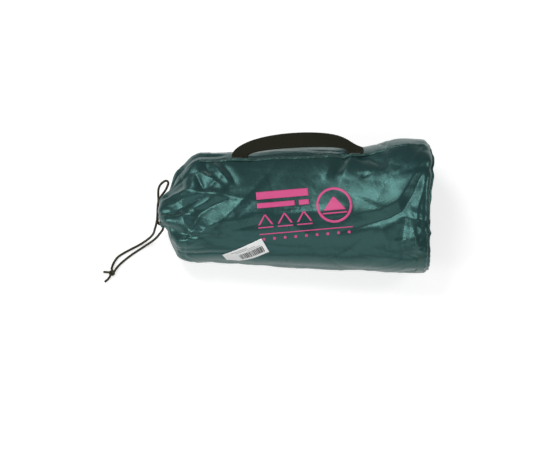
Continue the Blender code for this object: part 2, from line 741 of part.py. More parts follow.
def roll_top():
    """Height of the outer end of the wound sheet."""
    return ROLL_Z + roll_radius(ROLL_TURNS) * math.sin(math.radians(ROLL_END_ANGLE)) + ROLL_FOLD_THICKNESS / 2


def make_tarp_roll(build):
    """The folded sheet as one band of cloth wound into a flattened spiral."""
    def middle(turns):
        angle = 2 * math.pi * (turns - ROLL_TURNS) + math.radians(ROLL_END_ANGLE)
        radius = roll_radius(turns)
        return Vector((0.0, ROLL_Y + (radius + ROLL_CORE_FLATNESS) * math.cos(angle),
                       ROLL_Z + radius * math.sin(angle)))

    ends = (ROLL_START_X, ROLL_START_X + ROLL_LENGTH)
    steps = round(ROLL_TURNS * ROLL_POINTS_PER_TURN)
    rings = []
    for step in range(steps + 1):
        turns = ROLL_TURNS * step / steps
        along = (middle(turns + 0.01) - middle(turns - 0.01)).normalized()
        out = Vector((0.0, along.z, -along.y)) * ROLL_FOLD_THICKNESS / 2
        place = middle(turns)
        rings.append([place - out + Vector((ends[1], 0.0, 0.0)), place + out + Vector((ends[1], 0.0, 0.0)),
                      place + out + Vector((ends[0], 0.0, 0.0)), place - out + Vector((ends[0], 0.0, 0.0))])
    return build.loft("tarp_roll", rings, "tarp", capped=True)


def make_corner_loops(build):
    """Four flat webbing loops, two from each end of the folded sheet, lying on top of the roll."""
    outline = rounded_outline(LOOP_WIDTH / 2, LOOP_LENGTH / 2, 0.003)
    eye_along = LOOP_LENGTH / 2 - LOOP_EYE_MARGIN - LOOP_EYE_LENGTH / 2
    eye = [(x, y + eye_along) for x, y in rounded_outline(LOOP_EYE_WIDTH / 2, LOOP_EYE_LENGTH / 2, 0.002, 2)]
    height = roll_top() + GAP + LOOP_THICKNESS / 2
    low = ROLL_START_X + LOOP_END_MARGIN
    high = ROLL_START_X + ROLL_LENGTH - LOOP_END_MARGIN
    places = (low, low + LOOP_PAIR_PITCH, high - LOOP_PAIR_PITCH, high)
    for number, x in enumerate(places, 1):
        build.plate("tarp_corner_loop_%d" % number, (outline, eye), LOOP_THICKNESS, "webbing",
                    Matrix.Translation((x, ROLL_Y, height)))


def make_peg_pouch(build):
    """An open-ended sleeve of thin cloth round the bundle of pegs."""
    half_across = PEG_HOOK_RADIUS + PEG_DIAMETER / 2 + POUCH_SPACE + POUCH_WALL
    half_up = (PEG_COUNT - 1) * PEG_PITCH / 2 + PEG_DIAMETER / 2 + POUCH_SPACE + POUCH_WALL
    outline = rounded_outline(half_across, half_up, POUCH_CORNER)
    end_x = POUCH_START_X + PEG_LENGTH + 2 * POUCH_END_SPACE
    rings = []
    for x, share in ((end_x, 0.55), (end_x - 0.003, 0.85), (end_x - 0.008, 1.0), (POUCH_START_X, 1.0)):
        rings.append([Vector((x, POUCH_Y + across * share, POUCH_Z + up * share)) for across, up in outline])
    return build.shell("peg_pouch", rings, POUCH_WALL, "taffeta")


def make_pegs(build):
    """Round wire pegs with a sharpened point and a bent hook, side by side in the pouch."""
    tip_x = POUCH_START_X + POUCH_END_SPACE
    bend_x = tip_x + PEG_LENGTH - PEG_HOOK_RADIUS - PEG_DIAMETER / 2
    for number in range(PEG_COUNT):
        z = POUCH_Z + (number - (PEG_COUNT - 1) / 2) * PEG_PITCH
        points = [Vector((tip_x, POUCH_Y - PEG_HOOK_RADIUS, z)),
                  Vector((tip_x + PEG_POINT_LENGTH, POUCH_Y - PEG_HOOK_RADIUS, z))]
        radii = [0.25, 1.0]
        for turn in range(0, 226, 25):
            angle = math.radians(turn - 90.0)
            points.append(Vector((bend_x + PEG_HOOK_RADIUS * math.cos(angle),
                                  POUCH_Y + PEG_HOOK_RADIUS * math.sin(angle), z)))
            radii.append(1.0)
        build.tube("peg_%d" % (number + 1), points, PEG_DIAMETER, "steel", radii)


def mirror_y(point):
    return Vector((point.x, -point.y, point.z))


def hank_outline():
    """A hank seen from above: two round lobes drawn in at the waist."""
    outline = []
    half = HANK_LENGTH / 2
    lobe = HANK_WIDTH / 2
    for end in (1, -1):
        for step in range(9):
            angle = math.radians(90.0 * (1 - end) + 180.0 * step / 8)
            outline.append((lobe * math.cos(angle), end * (half - lobe) + lobe * math.sin(angle)))
        outline.append((-end * HANK_WAIST / 2, 0.0))
    return outline


def make_guy_lines(build):
    """Four guy lines stacked at the mouth end, each with a free run through its slider."""
    outline = hank_outline()
    side_x = HANK_X + HANK_WIDTH / 2
    run_x = side_x + RUN_OFFSET
    leave = HANK_LENGTH / 2 - HANK_WIDTH / 2
    plate = [(x - SLIDER_HOLE_INSET + SLIDER_LENGTH / 2, z)
             for x, z in rounded_outline(SLIDER_LENGTH / 2, SLIDER_WIDTH / 2, 0.0025, 3)]
    far_hole = SLIDER_LENGTH - 2 * SLIDER_HOLE_INSET
    holes = (circle_outline(SLIDER_HOLE / 2), circle_outline(SLIDER_HOLE / 2, (far_hole, 0.0)))
    for number in range(GUY_LINE_COUNT):
        z = HANK_Z + (number - (GUY_LINE_COUNT - 1) / 2) * HANK_PITCH
        build.plate("guy_line_hank_%d" % (number + 1), (outline,), HANK_THICKNESS, "cord",
                    Matrix.Translation((HANK_X, 0.0, z)))
        lead = [Vector((side_x + GAP, leave, z)), Vector((side_x + GAP + GUY_LINE_DIAMETER, leave, z))]
        bend = Vector((run_x, leave - RUN_OFFSET / 2, z))
        route = [lead[1], bend, bend.lerp(mirror_y(bend), 0.5), mirror_y(bend), mirror_y(lead[1])]
        points = [lead[0], *smooth_route(route, GUY_LINE_DIAMETER * 3), mirror_y(lead[0])]
        build.tube("guy_line_run_%d" % (number + 1), points, GUY_LINE_DIAMETER, "cord")
        place = Matrix.Translation((run_x, 0.0, z)) @ Matrix.Rotation(math.radians(90.0), 4, "X")
        build.plate("line_slider_%d" % (number + 1), (plate, *holes), SLIDER_THICKNESS, "plastic", place)


def main():
    clear_scene()
    build = Builder("packed_tarp", -box_centre())
    make_sack_body(build)
    make_base_panel(build)
    make_base_seam_tape(build)
    make_side_seam(build)
    make_mouth_hem(build)
    make_handle_strap(build)
    make_handle_tabs(build)
    make_label(build)
    make_drawcord(build)
    make_tarp_roll(build)
    make_corner_loops(build)
    make_peg_pouch(build)
    make_pegs(build)
    make_guy_lines(build)


main()
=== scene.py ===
"""Looks for a camping tarp packed in its stuff sack: cloth, webbing, cord, label and print.

The sack's length runs along X, with the round base at +X and the gathered mouth at -X. "Sack
coordinates" have X = 0 and Y = 0 on the sack's own middle line; the frame adds a small shift.
Lengths are in metres and angles in degrees unless a name or a comment says otherwise.
"""
import json
import random
from collections import namedtuple
from itertools import accumulate
from math import copysign, cos, degrees, dist, exp, pi, radians, sin, sqrt

import bpy
import numpy as np
from mathutils import Matrix, Vector, noise
from mathutils.bvhtree import BVHTree

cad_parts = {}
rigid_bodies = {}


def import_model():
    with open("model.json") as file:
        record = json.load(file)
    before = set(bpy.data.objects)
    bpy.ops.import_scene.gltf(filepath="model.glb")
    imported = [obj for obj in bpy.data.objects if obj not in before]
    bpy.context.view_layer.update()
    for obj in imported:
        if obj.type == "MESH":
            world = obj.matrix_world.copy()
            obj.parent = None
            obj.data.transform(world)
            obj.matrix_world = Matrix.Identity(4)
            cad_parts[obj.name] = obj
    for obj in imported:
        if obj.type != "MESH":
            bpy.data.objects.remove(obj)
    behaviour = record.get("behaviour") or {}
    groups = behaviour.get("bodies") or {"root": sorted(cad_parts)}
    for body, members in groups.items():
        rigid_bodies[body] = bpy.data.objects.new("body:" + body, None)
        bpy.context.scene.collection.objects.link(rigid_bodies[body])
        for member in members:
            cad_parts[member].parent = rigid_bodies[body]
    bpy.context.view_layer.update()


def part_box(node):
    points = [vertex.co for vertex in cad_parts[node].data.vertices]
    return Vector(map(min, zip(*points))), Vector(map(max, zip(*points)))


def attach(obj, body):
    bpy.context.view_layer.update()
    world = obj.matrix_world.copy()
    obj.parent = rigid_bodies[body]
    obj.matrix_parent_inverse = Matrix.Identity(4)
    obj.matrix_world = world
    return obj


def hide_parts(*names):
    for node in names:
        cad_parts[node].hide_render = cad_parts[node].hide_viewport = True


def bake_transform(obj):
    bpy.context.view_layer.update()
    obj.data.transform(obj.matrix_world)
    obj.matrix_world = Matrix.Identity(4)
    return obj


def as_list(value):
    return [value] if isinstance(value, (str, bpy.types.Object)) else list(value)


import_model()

# Sack tube and gathered mouth, as the solids have them
SACK_WALL = 0.0004
BASE_SEAM_X = 0.174
SHOULDER_X = -0.128
SHOULDER_WIDTH = 0.148
SHOULDER_HEIGHT = 0.097
BASE_TAPER_WIDTH = 0.175
BASE_TAPER_HEIGHT = 0.115
SWELL_WIDTH = 0.010
SWELL_HEIGHT = 0.003
SWELL_START_X = 0.085
SWELL_FULL_X = 0.150
BASE_CORNER_RADIUS = 0.0045
FLAT_BOTTOM_SHARE = 1.12
SECTION_SQUARENESS = 2.12
CAP_DEPTH = 0.044
CAP_ROUNDNESS = 1.15
MOUTH_Y = -0.010
MOUTH_Z = 0.045
NECK_RADIUS = 0.0125
PLEATS = 12
PLEAT_DEPTH = 0.0045
PLEAT_SHARE = 0.17
HEM_RADIUS = 0.0108
HEM_LENGTH = 0.0096
HEM_THICKNESS = 0.0058
HEM_PLEAT_BULGE = 0.0026
SLIT_ANGLE = 200.0
SLIT_OPENING = 46.0
BASE_DOME = 0.0075
GAP = 0.0003

# Slack cloth that hangs out over the drawn mouth: its middle, its half width, its heights and its reach
OVERHANG_Y = -0.009
OVERHANG_HALF_WIDTH = 0.0240
OVERHANG_HEIGHTS = (0.0590, 0.0645, 0.0700, 0.0900)
OVERHANG_REACH = 0.0118
OVERHANG_RISE = 0.0030

# Mesh density of the visible sack
AROUND = 264
TUBE_RINGS = 190
CAP_RINGS = 52
CORNER_RINGS = 6

# Handle, side seam and label places, as the solids have them
SEAM_ANGLE = 46.5
WEBBING_THICKNESS = 0.0016
HANDLE_ANGLE = 38.0
HANDLE_INNER_SPAN = 0.132
HANDLE_OUTER_SPAN = 0.176
HANDLE_INNER_REACH = 0.0093
HANDLE_OUTER_REACH = 0.0338
HANDLE_CENTRE_X = 0.002
HANDLE_REST_TILT = -9.0
HANDLE_ARCH = 0.0025
HANDLE_TAB_LENGTH = 0.0105
STRAP_START = 0.0004
LABEL_LENGTH = 0.058
LABEL_WIDTH = 0.022
LABEL_X = -0.0663
LABEL_ANGLE = 158.8
LABEL_TURN = -27.7
WEBBING_LIFT = GAP + WEBBING_THICKNESS / 2

# Steps across the webbing, along each sewn end and round the loop
STRAP_COLUMNS = 14
STRAP_TAIL_STEPS = 12
STRAP_LOOP_STEPS = 110

# Drawcord: its thickness, its first straight way out of the hem, the angle by which its runs start
# inside the hem past the slit's edges, and the routes that the solids follow
CORD_DIAMETER = 0.0032
CORD_LEAD = 0.0026
CORD_TUCKED_IN = 4.0

def route_points(*tenths):
    """Points from coordinates in tenths of a millimetre."""
    return [tuple(value / 10000 for value in tenths[at:at + 3]) for at in range(0, len(tenths), 3)]

UPPER_ROUTE = route_points(-1800, -197, 404, -1832, -198, 428, -1848, -178, 464, -1847, -135, 487, -1845,
    -73, 500, -1844, 0, 510, -1842, 97, 518, -1846, 180, 523, -1846, 256, 526, -1826, 320, 530, -1780, 365,
    540, -1735, 372, 560, -1712, 335, 576, -1724, 280, 580, -1748, 226, 578, -1784, 175, 572, -1820, 120,
    562, -1841, 60, 554, -1847, -10, 548, -1848, -90, 540, -1852, -170, 526, -1868, -238, 488, -1888, -268,
    420, -1904, -272, 330, -1934, -275, 215, -1988, -288, 112, -2060, -316, 44, -2136, -356, 19, -2240,
    -414, 18, -2330, -466, 18, -2410, -522, 18, -2456, -586, 18, -2482, -650, 24, -2492, -702, 38)
LOWER_ROUTE = route_points(-1775, -236, 414, -1786, -264, 388, -1808, -280, 346, -1842, -290, 268, -1880,
    -300, 182, -1938, -320, 102, -2014, -352, 44, -2100, -402, 19, -2216, -484, 18, -2316, -566, 18, -2390,
    -640, 24, -2434, -704, 36)
KNOT_PLACE = (-0.2487, -0.0762, 0.0042)
KNOT_HEADING = -20.0
LONG_END_ROUTE = route_points(-2512, -815, 36, -2540, -846, 20, -2580, -880, 17)
SHORT_END_ROUTE = route_points(-2548, -748, 36, -2572, -742, 22, -2600, -740, 18)

# Camera: the photograph looks down steeply from the label's side
CAMERA_ELEVATION = 70.0
CAMERA_DISTANCE = 1.8
CAMERA_TARGET = (-0.028, -0.0238, 0.05)
VIEW_WIDTH = 0.733
SENSOR_WIDTH = 36.0
TILT = radians(CAMERA_ELEVATION)
PICTURE_UP = (0.0, sin(TILT), cos(TILT))
TO_CAMERA = (0.0, -cos(TILT), sin(TILT))

# Photograph pixels: how many go to a metre, and the pixel of the sack's own origin
PIXELS_PER_METRE = 750.0
PIXEL_X0 = 296.0
PIXEL_Y0 = 221.0

# Folds seen in the photograph: the pixels of a route, a height in tenths of a millimetre, and the
# reach in pixels of the slopes to the left and to the right of the route
PHOTO_FOLDS = (
    # the long crease at the base end, with the raised facet above it
    ((428, 157, 418, 168, 406, 188, 394, 203, 378, 210, 352, 214), 34, 4.5, 26),
    ((431, 163, 421, 177, 410, 196, 399, 211, 385, 218, 362, 225, 340, 231), -28, 4, 3.6),
    ((429, 178, 417, 202, 405, 219, 384, 231, 362, 240), 4, 9, 7),
    # folds that fall to the ground at the base end
    ((426, 176, 416, 210, 412, 240, 414, 258), 20, 5, 5),
    ((402, 216, 398, 238, 401, 262), -18, 4, 4),
    ((409, 220, 413, 240, 421, 257), 18, 4.5, 3.5),
    ((378, 226, 384, 246, 387, 266), 14, 4, 4),
    ((430, 203, 425, 225, 427, 250), -16, 3, 3),
    ((372, 230, 356, 243, 340, 254), -14, 7, 3.5),
    # the shaded hollow and the short lit line beside the handle's end
    ((356, 156, 368, 158, 382, 169), -34, 7, 6),
    ((356, 173, 369, 171.5), 10, 2.4, 3),
    ((359, 178, 368, 175), -16, 2.4, 2.4),
    ((383, 152, 388, 162, 384, 174), 18, 8, 3),
    # the pucker where the handle's end dives under the cloth
    ((347, 153, 340, 162, 334, 173), -40, 3.6, 3.6),
    ((353, 153, 347, 164, 341, 177), 30, 8, 3.4),
    ((330, 163, 328, 170, 322, 178), 14, 4, 4),
    # the long diagonal where the dark upper plane meets the bright band
    ((357, 150, 340, 166, 326, 181, 310, 192, 296, 200, 282, 209, 262, 217, 240, 226), -72, 60, 42),
    # the cloth's rise towards the base seam, and the front edge of the dark plane
    ((428, 146, 427, 168, 423, 192), 40, 20, 46),
    ((384, 152, 404, 150, 424, 150), 46, 22, 22),
    ((376, 164, 370, 184, 362, 202), 36, 36, 30),
    ((431, 148, 431, 190, 430, 230, 428, 258), 34, 9, 4),
    ((312, 206, 332, 203, 352, 204), 10, 15, 9),
    ((204, 231, 222, 221, 246, 215, 274, 211), 34, 26, 8),
    # the thin straight crease across the middle, and small lit facets at its foot
    ((281, 159, 271, 170, 243, 201, 229, 214, 208, 235), 9, 3, 3),
    ((286, 166, 262, 192, 246, 209), -8, 4, 12),
    ((224, 223, 238, 221, 255, 217), 22, 3, 7),
    ((232, 230, 250, 226, 262, 224), -16, 3, 3),
    # the star of creases on the mouth side
    ((197, 176, 205, 191), -28, 2.6, 2.6),
    ((198, 173, 212, 179, 223, 187), 22, 2.8, 2.8),
    ((205, 166, 212, 177), -22, 2.6, 2.6),
    ((213, 165, 222, 175, 232, 184), 26, 3.2, 3.2),
    ((222, 165, 229, 172, 236, 183), -20, 3, 3),
    ((207, 190, 216, 182, 226, 174), -18, 2.6, 2.6),
    ((225, 193, 237, 181), -18, 3, 3.4),
    # long folds from the gathered mouth
    ((173, 214, 188, 205, 204, 195), -34, 3.2, 3.2),
    ((170, 204, 190, 190, 208, 180), 16, 7, 5),
    ((168, 223, 188, 214, 206, 203, 222, 194), 30, 5, 7),
    ((192, 231, 201, 215, 213, 206, 230, 199), -40, 6, 5),
    ((200, 238, 209, 227, 226, 219), 34, 6, 8),
    ((190, 238, 197, 228, 203, 219), 12, 2.6, 2.6),
    ((163, 206, 175, 196), -22, 2.6, 2.6),
    ((171, 236, 190, 240, 206, 241), 22, 5, 7),
    ((177, 179, 190, 170, 206, 163), 18, 5, 9),
    # slow shapes along the tube
    ((240, 170, 270, 174, 300, 176, 332, 173), -8, 11, 12),
    ((238, 211, 268, 214, 310, 212, 350, 206), 24, 11, 13),
    ((178, 242, 240, 244, 300, 248, 362, 251), -14, 7, 6),
)

# What the smooth outline lacks against the photograph: pixel places along it, each with its shift
TOP_EDGE_SHIFT = (150, 0, 176, 0, 184, -2, 192, 1.6, 200, 3, 212, 2.2, 230, 2, 242, 1.2, 251, 1.2, 262, 2.6,
                  275, 3.6, 325, 3.6, 345, 2, 362, -0.6, 376, 0, 392, 0, 404, 0, 416, 0, 428, 0.5)
BOTTOM_EDGE_SHIFT = (150, 0, 168, 2, 178, -5, 186, -2, 194, 1, 212, 1.8, 240, 0.8, 256, -0.8, 304, -1.8,
                     350, -2, 368, -1, 384, 0, 404, 2, 428, 2)
BASE_EDGE_SHIFT = (140, -2.2, 160, -2.4, 172, -4.8, 182, -7.4, 206, -7.6, 244, -6.4, 270, -4)

# Where the load pulls the cloth smooth, in pixels: middle, half sizes, and the share of creases left
CALM_PLACES = ((280, 184, 66, 34, 0.15), (372, 190, 44, 34, 0.40), (310, 252, 110, 16, 0.40))

# Zones round the handle, from its middle and round the sack, that the sewn ends keep flat
HANDLE_END_X = (0.054, 0.062, 0.094, 0.104)
HANDLE_END_ANGLES = (20.0, 30.0, 44.0, 49.0)
UNDER_HANDLE_X = (0.104, 0.090)
UNDER_HANDLE_ANGLES = (46.0, 34.0)

# Side seam: half its width, and where it rises over the handle's sewn ends
SEAM_HALF = 0.0024
SEAM_COVER = (HANDLE_INNER_SPAN / 2 - 0.008, HANDLE_INNER_SPAN / 2 - 0.002,
              HANDLE_OUTER_SPAN / 2 + 0.002, HANDLE_OUTER_SPAN / 2 + 0.008)

# Generic print: its slant and centre and the size of its cells in pixels, and its height over the cloth
PRINT_SLANT = -5.0
PRINT_CENTRE = (303.0, 211.0)
PRINT_CELL = 0.9
INK_LIFT = 0.00022

# Label: the cells of its sheet and of its printing, and the height of the printing
LABEL_COLUMNS = 40
LABEL_ROWS = 16
LABEL_CELL = 0.0008
LABEL_INK_LIFT = 0.00020

# Contents of the sack, as the solids have them
SEAM_TAPE_WIDTH = 0.009
SEAM_TAPE_THICKNESS = 0.0008
SEAM_TAPE_INSET_X = 0.008
SOLID_WALL = 0.0008
ROLL_LENGTH = 0.282
ROLL_START_X = -0.110
ROLL_Y = 0.014
ROLL_Z = 0.0455
ROLL_FOLD_THICKNESS = 0.0052
ROLL_TURN_PITCH = 0.0060
ROLL_TURNS = 5.5
ROLL_CORE_RADIUS = 0.0050
ROLL_CORE_FLATNESS = 0.012
ROLL_END_ANGLE = 80.0
LOOP_LENGTH = 0.030
LOOP_WIDTH = 0.020
LOOP_THICKNESS = 0.0018
LOOP_EYE_LENGTH = 0.012
LOOP_EYE_WIDTH = 0.010
LOOP_EYE_MARGIN = 0.004
LOOP_PAIR_PITCH = 0.027
LOOP_END_MARGIN = 0.016
PEG_COUNT = 8
PEG_DIAMETER = 0.004
PEG_LENGTH = 0.180
PEG_PITCH = 0.0050
PEG_HOOK_RADIUS = 0.006
POUCH_WALL = 0.0008
POUCH_SPACE = 0.0017
POUCH_CORNER = 0.007
POUCH_START_X = -0.092
POUCH_Y = -0.0555
POUCH_Z = 0.049
POUCH_END_SPACE = 0.006
GUY_LINE_COUNT = 4
GUY_LINE_DIAMETER = 0.0020
HANK_LENGTH = 0.076
HANK_WIDTH = 0.018
HANK_PITCH = 0.0150
HANK_X = -0.141
HANK_Z = 0.0455
HANK_LAYERS = 6
HANK_WAIST = 0.012
HANK_WAIST_PINCH = 0.30
RUN_OFFSET = 0.0056

# How the pouch closes at its end: distance from the end and share of the full size
POUCH_END = ((0.0, 0.55), (0.0015, 0.72), (0.003, 0.85), (0.0055, 0.95), (0.008, 1.0))

# A stitch along its length: place and size as shares, and its rise in radii
STITCH_PROFILE = ((-0.5, 0.35, -0.6), (-0.3, 1.0, 0.25), (0.3, 1.0, 0.25), (0.5, 0.35, -0.6))

# Looks, as linear colours
TEAL = (0.0145, 0.0400, 0.0430)
# painted bounce light: the low side of the cloth is mixed towards this lighter, less blue teal
TEAL_PAINTED_BOUNCE = (0.0200, 0.0490, 0.0390)
# painted highlight: seams, hem, binding and base are mixed towards this pale teal
TEAL_PAINTED_HIGHLIGHT = (0.050, 0.075, 0.055)
TARP_TEAL = (0.022, 0.062, 0.064)
WEBBING_BROWN = (0.0120, 0.0125, 0.0060)
CORD_OLIVE = (0.024, 0.021, 0.0095)
PRINT_PINK = (0.76, 0.085, 0.285)
LABEL_WHITE = (0.94, 0.96, 0.95)
LABEL_GREY = (0.36, 0.38, 0.38)
LABEL_INK = (0.045, 0.045, 0.050)
STEEL = (0.60, 0.61, 0.62)
SLIDER_BLACK = (0.020, 0.020, 0.022)
THREAD_TEAL = (0.035, 0.075, 0.072)
THREAD_DARK = (0.016, 0.015, 0.010)
GUY_LINE_BLACK = (0.020, 0.020, 0.019)

# Studio light: name, direction towards each soft box, its share of a plain level, and its side
SOFT_BOX_DISTANCE = 1.7
SOFT_BOXES = (
    ("overhead", (-0.30, 0.26, 0.92), 0.25, 0.5),
    ("low_left", (-0.780, -0.36, 0.520), 0.29, 0.6),
    ("right", (0.75, 0.07, 0.66), 0.16, 0.5),
    ("front", (-0.10, -0.80, 0.60), 0.25, 1.6),
    ("high_back", (-0.440, 0.560, 0.700), 0.13, 0.5),
)
WORLD_LEVEL = 0.17

# Shapes -------------------------------------------------------------------------------------------

def lerp(low, high, share):
    return low + (high - low) * share


def shares(steps):
    return [step / steps for step in range(steps + 1)]


def smoothstep(start, end, value):
    share = np.clip((value - start) / (end - start), 0.0, 1.0)
    return share * share * (3.0 - 2.0 * share)


def ease(start, end, value):
    return float(smoothstep(start, end, value))


def window(start, full, falling, end, value):
    """Rises from start to full, and falls off again from falling to end."""
    return smoothstep(start, full, value) * smoothstep(end, falling, value)


def sack_shift():
    """From sack coordinates to the frame, read off the solids."""
    low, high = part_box("base_seam_tape")
    return Vector((high.x - BASE_SEAM_X + SEAM_TAPE_INSET_X, (low.y + high.y) / 2, 0.0))


SHIFT = sack_shift()


class Section(namedtuple("Section", "x half_width rise drop y z pleat")):
    """One cross-section of the sack's outer surface, in sack coordinates."""

    def points(self, angles):
        power = 2.0 / SECTION_SQUARENESS
        across, up = (np.copysign(np.abs(way) ** power, way) for way in (np.cos(angles), np.sin(angles)))
        warped = angles + 0.10 * np.sin(3 * angles + 0.7) + 0.06 * np.sin(5 * angles + 2.1)
        wave = self.pleat * np.cos(PLEATS * warped) * (0.75 + 0.25 * np.sin(2 * angles + 1.0))
        y = self.y + (self.half_width + wave) * across
        z = np.maximum(self.z + (np.where(up > 0, self.rise, self.drop) + wave) * up, 0.0)
        return np.stack([np.full_like(y, self.x), y, z], axis=1)

    def point(self, angle):
        return Vector(self.points(np.array([angle]))[0])


def tube_section(x):
    share = (x - SHOULDER_X) / (BASE_SEAM_X - SHOULDER_X)
    swell = ease(SWELL_START_X, SWELL_FULL_X, x)
    into_corner = max(x - BASE_SEAM_X + BASE_CORNER_RADIUS, 0.0)
    drawn_in = BASE_CORNER_RADIUS - sqrt(max(BASE_CORNER_RADIUS ** 2 - into_corner ** 2, 0.0))
    half_width = (lerp(SHOULDER_WIDTH, BASE_TAPER_WIDTH, share) + SWELL_WIDTH * swell) / 2
    half_height = (lerp(SHOULDER_HEIGHT, BASE_TAPER_HEIGHT, share) + SWELL_HEIGHT * swell) / 2
    return Section(x, half_width - drawn_in, half_height - drawn_in,
                   half_height * FLAT_BOTTOM_SHARE - drawn_in, 0.0, half_height, 0.0)


def cap_section(angle):
    shoulder = tube_section(SHOULDER_X)
    drawn = max(cos(radians(angle)), 0.0) ** CAP_ROUNDNESS
    half_width = lerp(NECK_RADIUS, shoulder.half_width, drawn)
    return Section(SHOULDER_X - CAP_DEPTH * sin(radians(angle)), half_width,
                   lerp(NECK_RADIUS, shoulder.rise, drawn), lerp(NECK_RADIUS, shoulder.drop, drawn),
                   lerp(MOUTH_Y, 0.0, drawn), lerp(MOUTH_Z, shoulder.z, drawn),
                   min(PLEAT_DEPTH * (1.0 - drawn) ** 0.7, half_width * PLEAT_SHARE))


def corner_x(turn):
    return BASE_SEAM_X - BASE_CORNER_RADIUS * (1.0 - sin(radians(turn)))


MOUTH_X = cap_section(90.0).x
HEM_X = MOUTH_X - GAP - HEM_LENGTH / 2
# Step over which directions are measured, in metres along the sack and in radians round it
SMALL = 0.0005


def surface_frame(x, angle):
    """A point on the tube with its outward normal and its direction of growing angle."""
    section = tube_section(x)
    along = tube_section(x + SMALL).point(angle) - tube_section(x - SMALL).point(angle)
    around = section.point(angle + SMALL) - section.point(angle - SMALL)
    return section.point(angle), around.cross(along).normalized(), around.normalized()


def angle_after(x, angle, distance, steps=8):
    section = tube_section(x)
    for _ in range(steps):
        rate = (section.point(angle + SMALL) - section.point(angle - SMALL)).length / (2 * SMALL)
        angle += distance / steps / rate
    return angle


def smooth_route(points, spacing):
    """Points a set distance apart on a smooth curve through a route's own points."""
    route = [Vector(point) for point in points]
    route = [route[0] * 2 - route[1], *route, route[-1] * 2 - route[-2]]
    fine = [0.5 * (2 * start + (end - before) * share
                   + (2 * before - 5 * start + 4 * end - after) * share ** 2
                   + (3 * start - before - 3 * end + after) * share ** 3)
            for before, start, end, after in zip(route, route[1:], route[2:], route[3:])
            for share in shares(20)[:-1]]
    fine.append(route[-2])
    lengths = [0.0, *accumulate((end - start).length for start, end in zip(fine, fine[1:]))]
    count = max(round(lengths[-1] / spacing), 2)
    evenly, index = [], 0
    for step in range(count + 1):
        target = lengths[-1] * step / count
        while index < len(fine) - 2 and lengths[index + 1] < target:
            index += 1
        span = lengths[index + 1] - lengths[index]
        evenly.append(fine[index].lerp(fine[index + 1], (target - lengths[index]) / span))
    return evenly


# Meshes, as vertices in sack coordinates and faces ------------------------------------------------

def grid_faces(rings, count, closed=True, flip=False, ends=False, looped=False):
    """Quads between rings of count points each; ends adds a face over each open end."""
    faces = []
    for ring in range(rings if looped else rings - 1):
        here, there = ring * count, (ring + 1) % rings * count
        for step in range(count if closed else count - 1):
            after = (step + 1) % count
            faces.append((here + step, there + step, there + after, here + after))
    if ends:
        faces += [tuple(reversed(range(count))), tuple(range((rings - 1) * count, rings * count))]
    return [face[::-1] for face in faces] if flip else faces


def patch(place, rows, columns, flip=False):
    """A sheet of points, each placed by its shares of the way down and across."""
    return ([place(down, across) for down in shares(rows) for across in shares(columns)],
            grid_faces(rows + 1, columns + 1, closed=False, flip=flip))


def join(meshes):
    vertices, faces = [], []
    for more, more_faces in meshes:
        faces += [tuple(len(vertices) + index for index in face) for face in more_faces]
        vertices += more
    return vertices, faces


def braid(points, diameter, strands=8, pitch=0.0075, relief=0.10, sides=16, taper=None):
    """A round braided cord: two sets of strands wind opposite ways over each other."""
    vertices, travelled, up = [], 0.0, Vector((0.0, 0.0, 1.0))
    for index, point in enumerate(points):
        before = points[max(index - 1, 0)]
        ahead = (points[min(index + 1, len(points) - 1)] - before).normalized()
        side = ahead.cross(up)
        if side.length < 1e-4:
            side = ahead.cross(Vector((0.0, 1.0, 0.0)))
        side.normalize()
        up = side.cross(ahead).normalized()
        travelled += (point - before).length
        wind = 2 * pi * travelled / pitch
        radius = diameter / 2 * (taper[index] if taper else 1.0)
        for step in range(sides):
            turn = 2 * pi * step / sides
            crest = max(abs(sin(strands / 4 * turn + wind)), abs(sin(strands / 4 * turn - wind)))
            out = radius * (1.0 - relief + relief * crest)
            vertices.append(point + side * cos(turn) * out + up * sin(turn) * out)
    return vertices, grid_faces(len(points), sides, flip=True, ends=True)


def grid_uv(count, ring_size, step_size):
    """The cloth's UVs for rings of count points each, from the size of a cell in metres."""
    return lambda loop, _: (loop.vertex_index // count * ring_size, loop.vertex_index % count * step_size)


def make_piece(name, vertices, faces, material, slot, *nodes, body="root", uv=None, wall=0.0,
               outward=-1.0, smooth=True):
    """A finished piece that stands for the solids in nodes; uv is in metres, so weaves keep their size."""
    mesh = bpy.data.meshes.new(name)
    mesh.from_pydata([tuple(Vector(point) + SHIFT) for point in vertices], [], faces)
    mesh.update()
    if smooth:
        mesh.shade_smooth()
    mesh.materials.append(material)
    piece = bpy.data.objects.new(name, mesh)
    bpy.context.scene.collection.objects.link(piece)
    if uv:
        layer = mesh.uv_layers.new(name="Cloth")
        for loop in mesh.loops:
            layer.data[loop.index].uv = uv(loop, mesh.vertices[loop.vertex_index].co)
    if wall:
        shell = piece.modifiers.new("Wall", "SOLIDIFY")
        shell.thickness, shell.offset = wall, outward
    if body:
        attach(piece, body)
    if nodes:
        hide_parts(*nodes)
    return piece


STITCH_FACES = grid_faces(4, 6, flip=True) + [(5, 4, 3, 2, 1, 0), (18, 19, 20, 21, 22, 23)]


def stitches(name, places, length, radius, material, body="root"):
    """Thread stitches, small rounded lengths that lie on the cloth, each at (point, along, up)."""
    threads = []
    for point, along, up in places:
        side = along.cross(up).normalized()
        threads.append(([point + along * length * share + up * radius * rise
                         + (side * cos(pi * turn / 3) + up * sin(pi * turn / 3)) * radius * size
                         for share, size, rise in STITCH_PROFILE for turn in range(6)], STITCH_FACES))
    make_piece(name, *join(threads), material, "cord", body=body)


# Materials ----------------------------------------------------------------------------------------

